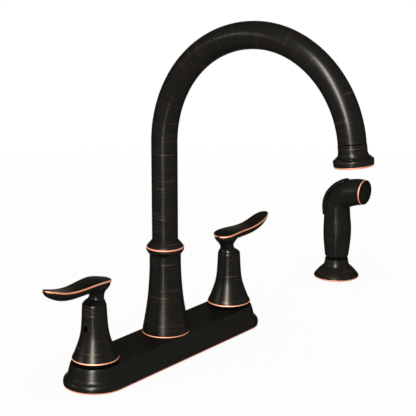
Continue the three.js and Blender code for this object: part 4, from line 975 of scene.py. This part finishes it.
FLANGE_SKIN = [
    (24.5, 0.4), (25, 1.0), (25, 1.0), (25.0, 1.5), (24.8, 2.2), (24.2, 3.2), (19.9, 8.3),
    (16.6, 11.4), (15, 12.8), (14.3, 13.6), (14.0, 14.4), (13.3, 16.9), (12.9, 19.5),
    (12.7, 21.3), (12.7, 21.3),
]
flange_rows, flange_groove = thread(13, -37, -2)
flange_inside = [(11.2, 21.3), (10.2, 18), (9.8, 14), (9.6, -38), (12, -38)]
flange_foot = [(13, 1.5), (22.6, 1.5), (22.6, 0.4), (24.5, 0.4)]
flange = bronze_turned(
    "spray_flange", outline(FLANGE_SKIN) + flange_inside + flange_rows + flange_foot,
    SPRAY_AXIS, [(24.85, 0.75, 0.75)], flange_groove)
belongs(flange, "deck", "dark_bronze", "spray_guide")

# %% [markdown]
# ## The spray's sections
# The grip swells like a bottle and bends over into a head that looks the same way as the
# spout. Its sections are circles that lean further and further forward. A section is
# how far back and how high its centre is, its lean in degrees and its radius.

# %% Spray sections
SPRAY_SECTIONS = [
    (0, 24.4, 0, 12.7), (0, 25, 0, 13.1), (0, 27.4, 0, 13.45), (0, 36.8, 0, 14.5),
    (0, 46, 0, 15.25), (0, 55.4, 0, 15.45), (0.1, 62, 2, 15.2), (0.4, 69, 7, 14.8),
    (0.4, 75, 13, 14.6), (0, 80.4, 22, 14.5), (-1.2, 85.8, 34, 14.3),
    (-3.5, 90.2, 48, 14.2), (-7.3, 93.9, 62, 14.5), (-12.4, 96.8, 76, 15),
    (-18.4, 98.9, 84, 15.1), (-26, 100.7, 88, 14.6), (-32.6, 101.5, 90, 13.9),
    (-34, 101.5, 90, 13.65),
]
SECTION_STEPS = 5
HEAD_HEIGHT, HEAD_REACH, FACE_RADIUS, FACE_RECESS = 101.5, 34.4, 11.5, 1.6

def head_point(section, angle, grow=0.0):
    """A point round a section, in millimetres, at its radius or some way out from it."""
    back, up, lean, radius = section[:4]
    tilt = math.radians(lean)
    x = (radius + grow) * math.cos(angle)
    out = (radius + grow) * math.sin(angle)
    return (SPRAY_X + x, back + out * math.cos(tilt), up + out * math.sin(tilt))

print("the head's top", [round(v, 1) for v in head_point(SPRAY_SECTIONS[-1], math.pi / 2)])

# %% [markdown]
# ## The pocket for the trigger
# The head's back has a shallow pocket in which the trigger plate moves. It could be cut
# out with a second mesh, but the cut would leave long thin faces on the bend. So the
# sections themselves are pressed in: those inside the pocket's run have a floor with
# parallel sides, and a close pair of sections stands at each end.

# %% Trigger pocket
POCKET_DEPTH, POCKET_HALF_WIDTH = 3.7, 8.2
POCKET_END, POCKET_SHOULDER = 0.01, 0.004
FLOOR_STEPS, REST_STEPS = 36, 150
# Where along the sections, and which share of the full depth
POCKET_ROWS = [
    (6.37, 1), (7, 0.97), (8, 0.92), (9, 0.81), (10, 0.68), (11, 0.54), (12, 0.42),
    (13, 0.3), (13.47, 0.24),
]

def pocket_depth(index):
    """How deep the trigger's pocket is at a section: nothing outside its run."""
    for (start, share), (end, other) in zip(POCKET_ROWS, POCKET_ROWS[1:]):
        if start <= index <= end:
            return POCKET_DEPTH * (share + (other - share) * (index - start) / (end - start))
    return 0.0

def grip_rows():
    """The smooth sections by index, with a close pair at each end of the pocket."""
    smooth = curve_through(SPRAY_SECTIONS, SECTION_STEPS)
    rows = [(k / SECTION_STEPS, section) for k, section in enumerate(smooth)]
    for end, way in ((POCKET_ROWS[0][0], -POCKET_END), (POCKET_ROWS[-1][0], POCKET_END)):
        for index in (end, end + way):
            k = int(index * SECTION_STEPS)
            t = index * SECTION_STEPS - k
            between = tuple(p + (q - p) * t for p, q in zip(smooth[k], smooth[k + 1]))
            rows.append((index, between))
    return sorted(rows)

def ring_spots(radius, depth):
    """Angles round a section and how deep each lies. The pocket's sides are parallel."""
    inner = radius - depth
    spots = []
    for i in range(FLOOR_STEPS + 1):
        across = POCKET_HALF_WIDTH * (2 * i / FLOOR_STEPS - 1)
        spots.append((math.pi / 2 + math.asin(across / inner), depth))
    half = math.asin(POCKET_HALF_WIDTH / radius) + POCKET_SHOULDER
    for i in range(REST_STEPS + 1):
        turned_by = half + (2 * math.pi - 2 * half) * i / REST_STEPS
        spots.append((math.pi / 2 + turned_by, 0.0))
    return spots

print("sections", len(grip_rows()), "points in each", len(ring_spots(15, 0)))

# %% [markdown]
# ## The spray's grip and head
# The skin over all these sections is the grip. Its brush space unrolls with it: two axes
# go round the section and the third is the way travelled along the grip. A copper band
# lies behind the face, and a few last rings turn in to the recess that holds the face.

# %% Spray grip
COPPER_LENGTH, COPPER_FADE, NOSE_STEP = 0.9, 0.3, 0.5
# In from the head's end, radius, and whether the coat is gone
NOSE_ROWS = [
    (0.1, 13.5, 0.5), (0, 13.2, 0), (0, 12.4, 0), (-0.35, 12.0, 0), (-1.2, 11.85, 0),
    (-FACE_RECESS, 11.85, 0),
]

def smooth_step(low, high, value):
    t = min(max((value - low) / (high - low), 0.0), 1.0)
    return t * t * (3 - 2 * t)

def unrolled(radius, angle, run):
    return (radius * math.cos(angle), radius * math.sin(angle), run)

def spray_grip():
    rows, run, previous = [], 0.0, None
    for index, section in grip_rows():
        if previous:
            run += math.dist(section[:2], previous[:2])
        previous = section
        back = HEAD_REACH + section[0]
        copper = smooth_step(COPPER_LENGTH + COPPER_FADE, COPPER_LENGTH, back)
        rows.append((section, copper, pocket_depth(index), run))
    for inset, radius, copper in NOSE_ROWS:
        run += NOSE_STEP
        rows.append(((-HEAD_REACH - inset, HEAD_HEIGHT, 90, radius), copper, 0.0, run))
    rings, values = [], []
    for section, copper, depth, run in rows:
        spots = ring_spots(section[3], depth)
        rings.append([head_point(section, angle, -deep) for angle, deep in spots])
        values.append([(unrolled(section[3], angle, run), copper) for angle, deep in spots])
    return lofted("spray_grip", rings, "calm_bronze", values=values)

belongs(spray_grip(), "spray_wand", "dark_bronze", "spray_body")

# %% [markdown]
# ## The trigger plate
# A thumb presses this plate into the pocket to start the spray. It follows the head's
# back and thins out to a lip at its lower end. A Simple Deform modifier would bend a
# flat plate by one angle only, so its sections are rounded oblongs bent over the head.
# They shrink at both ends, so that no sharp edge meets the thumb.

# %% Trigger plate
TRIGGER_SWELLS = [-0.9, 0.2, 1.65, 2.2, 1.9, 1.4, 1.0, 0.4, 0.0]
TRIGGER_SUNK, TRIGGER_PROUD, TRIGGER_HALF_WIDTH = 0.4, 1.9, 7.6
LIP_ROWS, TOP_ROWS, TRIGGER_AROUND = 9, 7, 56
LEAST_WIDTH, LEAST_THICK, LEAST_SPAN, TRIGGER_TAPER = 0.12, 0.35, 0.3, 0.12
TOP_POWER, SIDE_POWER = 0.6, 0.3
LIP_DROP, LIP_GROW, TOP_SHIFT = 1.5, 0.5, (-2, 0.7, 3, 0)

def trigger_run():
    """The head's sections under the plate, each with how far the plate swells there."""
    run = SPRAY_SECTIONS[7:14]
    back, up, lean, radius = run[0]
    first = (back, up - LIP_DROP, lean, radius + LIP_GROW)
    last = tuple(a + b for a, b in zip(run[-1], TOP_SHIFT))
    rows = [first] + run + [last]
    return [(*row, swell) for row, swell in zip(rows, TRIGGER_SWELLS)]

def end_share(place, length):
    """Shrinks a section near an end, like the quarter of a circle."""
    t = min(place / length, 1.0)
    return math.sqrt(max(1 - (1 - t) ** 2, 0.0))

def oblong(value, power):
    """Squares a circle: the lower the power, the flatter the sides."""
    return math.copysign(abs(value) ** power, value)

def trigger_plate():
    rows = curve_through(trigger_run(), 8)
    rings, values, run = [], [], 0.0
    last = len(rows) - 1
    for k, row in enumerate(rows):
        if k:
            run += math.dist(row[:2], rows[k - 1][:2])
        width = max(min(end_share(k, LIP_ROWS), end_share(last - k, TOP_ROWS)), LEAST_WIDTH)
        inner = -TRIGGER_SUNK
        thick = LEAST_THICK + (1 - LEAST_THICK) * width
        span = TRIGGER_HALF_WIDTH * (LEAST_SPAN + (1 - LEAST_SPAN) * width)
        outer = inner + (TRIGGER_PROUD + row[4] - inner) * thick
        ring, marks = [], []
        for x, y in circle_points(TRIGGER_AROUND):
            share = 0.5 + 0.5 * oblong(y, TOP_POWER)
            grow = inner + (outer - inner) * share
            across = span * (1 - TRIGGER_TAPER * share) * oblong(x, SIDE_POWER)
            angle = math.pi / 2 + math.asin(across / (row[3] + grow))
            ring.append(head_point(row, angle, grow))
            marks.append((unrolled(row[3], angle, run), 0.0))
        rings.append(ring)
        values.append(marks)
    return lofted("trigger_plate", rings, "calm_bronze", sharp=SOFT_SHARP, values=values)

belongs(trigger_plate(), "spray_trigger", "dark_bronze", "spray_lever")

# %% [markdown]
# ## The spray's face
# The face is a black disc set back in the head, and rubber nozzles stand on two rings
# of it. A loop could place them. Geometry Nodes do it with named inputs, so that one
# group serves both rings and the aerator's holes.

# %% Spray face
def ring_group():
    tree, given, keys = node_group(
        "GeometryNodeTree", "ring_of_copies",
        [("Copy", GEOMETRY), ("Count", WHOLE), ("Ring radius", FLOAT), ("Finish", MATERIAL)],
        [("Ring", GEOMETRY)])
    size = {"Vertices": given["Count"], "Radius": given["Ring radius"]}
    circle = add(tree, "GeometryNodeMeshCircle", size, fill_type="NONE").outputs[0]
    copies = {"Points": circle, "Instance": given["Copy"]}
    geometry_end(
        tree, add(tree, "GeometryNodeInstanceOnPoints", copies).outputs[0], given["Finish"])
    return tree, keys

RING_GROUP = ring_group()

def ring_of_copies(piece, count, radius, finish):
    return grown(piece, RING_GROUP, {
        "Count": count, "Ring radius": radius * MM, "Finish": finishes[finish]})

FACE_PLACE = (SPRAY_X, FACE_RECESS - HEAD_REACH, HEAD_HEIGHT)
TO_FACE = Matrix.Translation(Vector(FACE_PLACE) * MM) @ Matrix.Rotation(math.pi / 2, 4, "X")
FACE_PROFILE = [
    (0, -1.4), (11.0, -1.4), (FACE_RADIUS, -1.1), (FACE_RADIUS, -0.6), (11.2, -0.3),
    (10.7, -0.3), (10.4, -0.45), (7.0, -0.35), (0, -0.3),
]
NOZZLE_PROFILE = [(0, -0.9), (0.95, -0.9), (0.8, 0.1), (0.45, 0.3), (0.3, 0.0), (0, -0.1)]
NOZZLE_RINGS = {"outer_nozzles": (16, 8.2), "inner_nozzles": (8, 4.2)}

disc = turned("face_disc", FACE_PROFILE, MIDDLE_AXIS, "black_plastic", around=72)
belongs(carried(disc, TO_FACE), "spray_wand", "black_plastic", "spray_face")
for name, (count, radius) in NOZZLE_RINGS.items():
    nozzle = turned(name, NOZZLE_PROFILE, MIDDLE_AXIS, "black_rubber", around=16)
    nozzles = ring_of_copies(nozzle, count, radius, "black_rubber")
    belongs(carried(nozzles, TO_FACE), "spray_wand", "black_rubber")

# %% [markdown]
# ## The set screws
# A set screw holds each hub from the outside, sunk deep in its hole, with a six-sided
# socket for the key. Its black steel is partly the screw's own black oxide and partly
# painted shade that keeps the hole dark. A cylinder with six sides would do for the
# socket alone. The nuts below have corners that are turned down, so one helper draws
# rings that are either round or a hexagon limited to a circle.

# %% Set screws
def hexagon_radius(turn, across, limit, _):
    """Distance out to a hexagon at a share of a turn, or to the circle that limits it."""
    if not across:
        return limit
    wedge = (2 * math.pi * turn) % (math.pi / 3) - math.pi / 6
    return min(across / 2 / math.cos(wedge), limit)

# Width across the flats or none, the limiting radius and the height
SCREW_ROWS = [
    (None, 2.2, 3.7), (None, 2.2, 8.6), (None, 1.9, 8.9), (2.0, 1.3, 8.9), (2.0, 1.3, 6.9)]
for side, way in SIDES.items():
    rings = rings_about(MIDDLE_AXIS, SCREW_ROWS, 48, hexagon_radius)
    place = Matrix.Translation(Vector((*handle_axis(side), SCREW_HEIGHT)) * MM)
    # The screw's black steel is partly its own black oxide, partly painted shade in the hole
    screw = lofted(f"{side}_screw", rings, "black_steel_and_hole_shade")
    carried(screw, place @ Matrix.Rotation(way * math.pi / 2, 4, "Y"))
    belongs(screw, f"{side}_handle", "steel", f"{side}_set_screw")

# %% [markdown]
# ## The spacer, the tail and the seals
# A brass tail with a cone centres the spray in its flange, a spacer parts the two, and
# thin gaskets keep water out from under the plate and the flange. All but one are turned.
# The plate's seal follows the plate's own outline a little further in.

# %% Spacer, tail and seals
TAIL_PROFILE = [
    (3.6, -16), (5.7, -16), (6.2, -15.3), (6.2, 12), (9.3, 16.6), (9.6, 20.8), (9.4, 21),
    (5, 21.4), (5, 33.6), (3.6, 33.6),
]
SEAL_ROWS = ((0.3, 0), (0, 0.3), (0, 1.2), (0.3, 1.5))
SEAL_INSET, SEAL_CUT = 0.5, (-1, 3)
SEAL_HOLES = ((-HANDLE_X, 0, 10.8), (HANDLE_X, 0, 10.8), (0, 10.7, 5.8))

spacer_profile = ring_profile(5.3, 12, 21.7, 24.1, 0.4)
spacer = turned("spacer", spacer_profile, SPRAY_AXIS, "black_plastic")
belongs(spacer, "spray_wand", "black_plastic", "spray_spacer")
tail = turned("spray_tail", TAIL_PROFILE, SPRAY_AXIS, "plain_brass", around=64)
belongs(tail, "spray_wand", "plain_brass", "spray_nipple")
seal_profile = ring_profile(13.3, 22.2, 0, 1.2, 0.3)
seal = turned("flange_seal", seal_profile, SPRAY_AXIS, "black_rubber")
belongs(seal, "deck", "black_rubber", "spray_gasket")

def plate_seal():
    edge = PLATE_EDGE - PLATE_WALL - SEAL_INSET
    rings = [[(x, y, up) for x, y in stadium(edge - inset)] for inset, up in SEAL_ROWS]
    piece = lofted("plate_seal", rings, "black_rubber")
    for x, y, radius in SEAL_HOLES:
        carved(piece, upright_rod(radius, *SEAL_CUT, (x, y), 64))
    return piece

belongs(plate_seal(), "deck", "black_rubber", "deck_gasket")

# %% [markdown]
# ## The aerator
# Seen from below, the outlet holds a steel shell and a plastic screen with nine holes.
# A picture of holes would look flat from close by, so the holes are cut, eight of them
# with one ring of rods that the nozzles' group makes.

# %% Aerator
SHELL_PROFILE = [
    (11.8, -12.6), (14.9, -12.6), (14.9, -18.2), (14.5, -18.6), (12.8, -18.6),
    (12.4, -18.2), (12.4, -15.4), (11.8, -15.4),
]
SCREEN_PROFILE = [
    (0, -17.3), (11.8, -17.3), (12.1, -17.0), (12.1, -16.0), (11.8, -15.7), (0, -15.7)]
SCREEN_HOLES, SCREEN_RING, SCREEN_HOLE, HOLE_ENDS = 8, 8.4, 1.4, (-19, -14)

shell = turned("aerator_rim", SHELL_PROFILE, MIDDLE_AXIS, "satin_steel")
belongs(carried(shell, OUTLET_MATRIX), "spout", "steel", "aerator_shell")

def hole_rod():
    return upright_rod(SCREEN_HOLE, *HOLE_ENDS, MIDDLE_AXIS, 24)

screen = turned("aerator_mesh", SCREEN_PROFILE, MIDDLE_AXIS, "black_plastic")
carved(screen, ring_of_copies(hole_rod(), SCREEN_HOLES, SCREEN_RING, "black_plastic"))
carved(screen, hole_rod())
belongs(carried(screen, OUTLET_MATRIX), "spout", "black_plastic", "aerator_screen")

# %% [markdown]
# ## Washers and nuts under the deck
# A rubber washer and a large plastic nut pull each valve down from below, and the
# spray's flange has the same pair. A nut is the hexagon helper again: flats below with
# corners turned down, and a round rim above that spreads the load.

# %% Washers and nuts
# Bore, the washer's radius, the nut's rim and its width across the flats
VALVE_FIXING, SPRAY_FIXING = (10.5, 21, 18, 30), (13.3, 22, 20, 34)
FIXINGS = {
    "hot": (handle_axis("hot"), VALVE_FIXING),
    "cold": (handle_axis("cold"), VALVE_FIXING),
    "spray": (SPRAY_AXIS, SPRAY_FIXING),
}

def nut_rows(bore, rim, across):
    corner = across / math.sqrt(3)
    return [
        (None, bore + 0.5, -18), (across, corner - 1.3, -18), (across, corner - 0.3, -17.3),
        (across, corner - 0.3, -11), (None, rim - 0.3, -11), (None, rim, -10.7),
        (None, rim, -8.6), (None, rim - 0.3, -8.3), (None, bore, -8.3), (None, bore, -17.5),
    ]

for name, (axis, (bore, washer, rim, across)) in FIXINGS.items():
    profile = ring_profile(bore, washer, -8, -6, 0.4)
    ring = turned(f"{name}_washer", profile, axis, "black_rubber")
    belongs(ring, "deck", "black_rubber", f"{name}_deck_washer")
    rings = rings_about(axis, nut_rows(bore, rim, across), 96, hexagon_radius)
    nut = lofted(f"{name}_nut", rings, "black_plastic", "joined")
    belongs(nut, "deck", "black_plastic", f"{name}_mounting_nut")

# %% [markdown]
# ## The valves
# Under each handle a brass body holds the cartridge and ends in a shank with a pipe
# thread, where the supply hose screws on. Only the shank shows, from below, but the body
# is turned with it from one bar, as the real one is. A hole in its inner side takes the
# tube to the spout.

# %% Valves
valve_rows, valve_groove = thread(10.2, -47, -1)
VALVE_PROFILE = [(6.5, -48), (9.2, -48)] + valve_rows + [
    (10.2, 1.8), (16.6, 1.8), (17, 2.2), (17, 5.6), (16.6, 6), (14, 6), (14, 23.6),
    (13.6, 24), (12.2, 24), (12.2, 29.6), (11.8, 30), (9.4, 30), (9.4, 8), (6.5, 8),
]
PORT_RADIUS, PORT_HEIGHT, PORT_REACH = 5.3, 13, (8.4, 18.0)

for side in SIDES:
    axis = handle_axis(side)
    valve = turned(f"{side}_valve", VALVE_PROFILE, axis, "plain_brass", groove=valve_groove)
    reach = sorted(-SIDES[side] * x for x in PORT_REACH)
    carved(valve, level_rod(PORT_RADIUS, *reach, (*axis, PORT_HEIGHT)))
    belongs(valve, "deck", "plain_brass", f"{side}_valve_body")

# %% [markdown]
# ## The floor
# The photograph has no floor, only white. A glowing sheet gives that white, but then the
# faucet would seem to float, so near the object a little of a matt floor is mixed in and
# takes a trace of shadow.

# %% Floor
FLOOR_PLACE = (90, 0, -GAP)
FLOOR_RADII = (0.001, 200, 500, 900, 1600, 3000)
FADE_START, FADE_END, GLOW_SHARE = 0.3, 0.9, 0.92

def floor_material():
    material, tree, shader = new_material("white_floor")
    tree.nodes.remove(shader)
    matt = add(tree, "ShaderNodeBsdfDiffuse", {"Color": (0.9, 0.9, 0.9)})
    glow = add(tree, "ShaderNodeEmission", {"Color": (1, 1, 1), "Strength": 1.0})
    places = {0: object_space(tree), 1: Vector(FLOOR_PLACE) * MM}
    far = add(tree, "ShaderNodeVectorMath", places, operation="DISTANCE").outputs["Value"]
    share = ranged(tree, far, FADE_START, FADE_END, GLOW_SHARE, 1.0)
    mix = add(tree, "ShaderNodeMixShader", {0: share, 1: matt.outputs[0], 2: glow.outputs[0]})
    feed(tree, tree.nodes["Material Output"], {"Surface": mix.outputs[0]})
    return material

finishes["white_floor"] = floor_material()
floor_rows = [(r, FLOOR_PLACE[2]) for r in FLOOR_RADII]
rings = rings_about(FLOOR_PLACE, floor_rows, 64, lambda turn, r, z: r)
floor = lofted("floor", rings, "white_floor", "open")
floor.visible_glossy = False
print(floor.name, len(floor.data.polygons), "faces")

# %% [markdown]
# ## The studio
# The photograph is a catalogue picture: white all round, one tall narrow window of
# light on the left that draws a thin bright line down each round piece, and a soft even
# fill. A studio picture wrapped round the scene would do as well, but lamps can be moved
# one by one. The windows only make highlights and the soft box only fills.

# %% Stage and light
AIM, HEAD_AIM = Vector((0.05, 0, 0.1)), Vector((0.3, 0, 0.1))
WINDOW_AZIMUTH, HEAD_AZIMUTH = CAMERA_AZIMUTH - 12.8, CAMERA_AZIMUTH - 75.0
# Width and height, azimuth, elevation, distance, aim and watts
WINDOWS = {
    "window": (0.2, 2.0, WINDOW_AZIMUTH, 30, 2.4, AIM, 320),
    "low_window": (0.2, 1.4, WINDOW_AZIMUTH, -12, 2.4, AIM, 60),
    "head_window": (0.5, 0.16, HEAD_AZIMUTH, 20, 2.4, HEAD_AIM, 12),
    "soft_box": (1.8, 1.8, -40, 70, 2.2, AIM, 24),
}

for name, (width, height, azimuth, elevation, distance, aim, watts) in WINDOWS.items():
    light = bpy.data.lights.new(name, "AREA")
    light.shape = "RECTANGLE"
    light.size, light.size_y, light.energy = width, height, watts
    lamp = linked(name, light)
    place = way_to(azimuth, elevation) * distance
    aimed(lamp, place, aim - place)
    lamp.visible_camera = False
    lamp.visible_diffuse = name == "soft_box"
    lamp.visible_glossy = name != "soft_box"
print("lamps", sorted(WINDOWS))

# %% [markdown]
# ## The white round it
# One plain white world would do for a pale object, but full white from all sides would
# wash the black coat out. So the world is white for the camera and in reflections, and
# only half as bright where it lights the pieces.

# %% World
world = bpy.data.worlds.new("studio")
scene.world = world
world.use_nodes = True
sky = world.node_tree
path = add(sky, "ShaderNodeLightPath").outputs
straight = maths(sky, "MAXIMUM", path["Is Camera Ray"], path["Is Glossy Ray"])
direct = maths(sky, "MAXIMUM", straight, path["Is Transmission Ray"])
strength = ranged(sky, direct, 0.0, 1.0, 0.5, 1.0)
feed(sky, sky.nodes["Background"], {"Color": (1, 1, 1), "Strength": strength})
print("world", world.name)
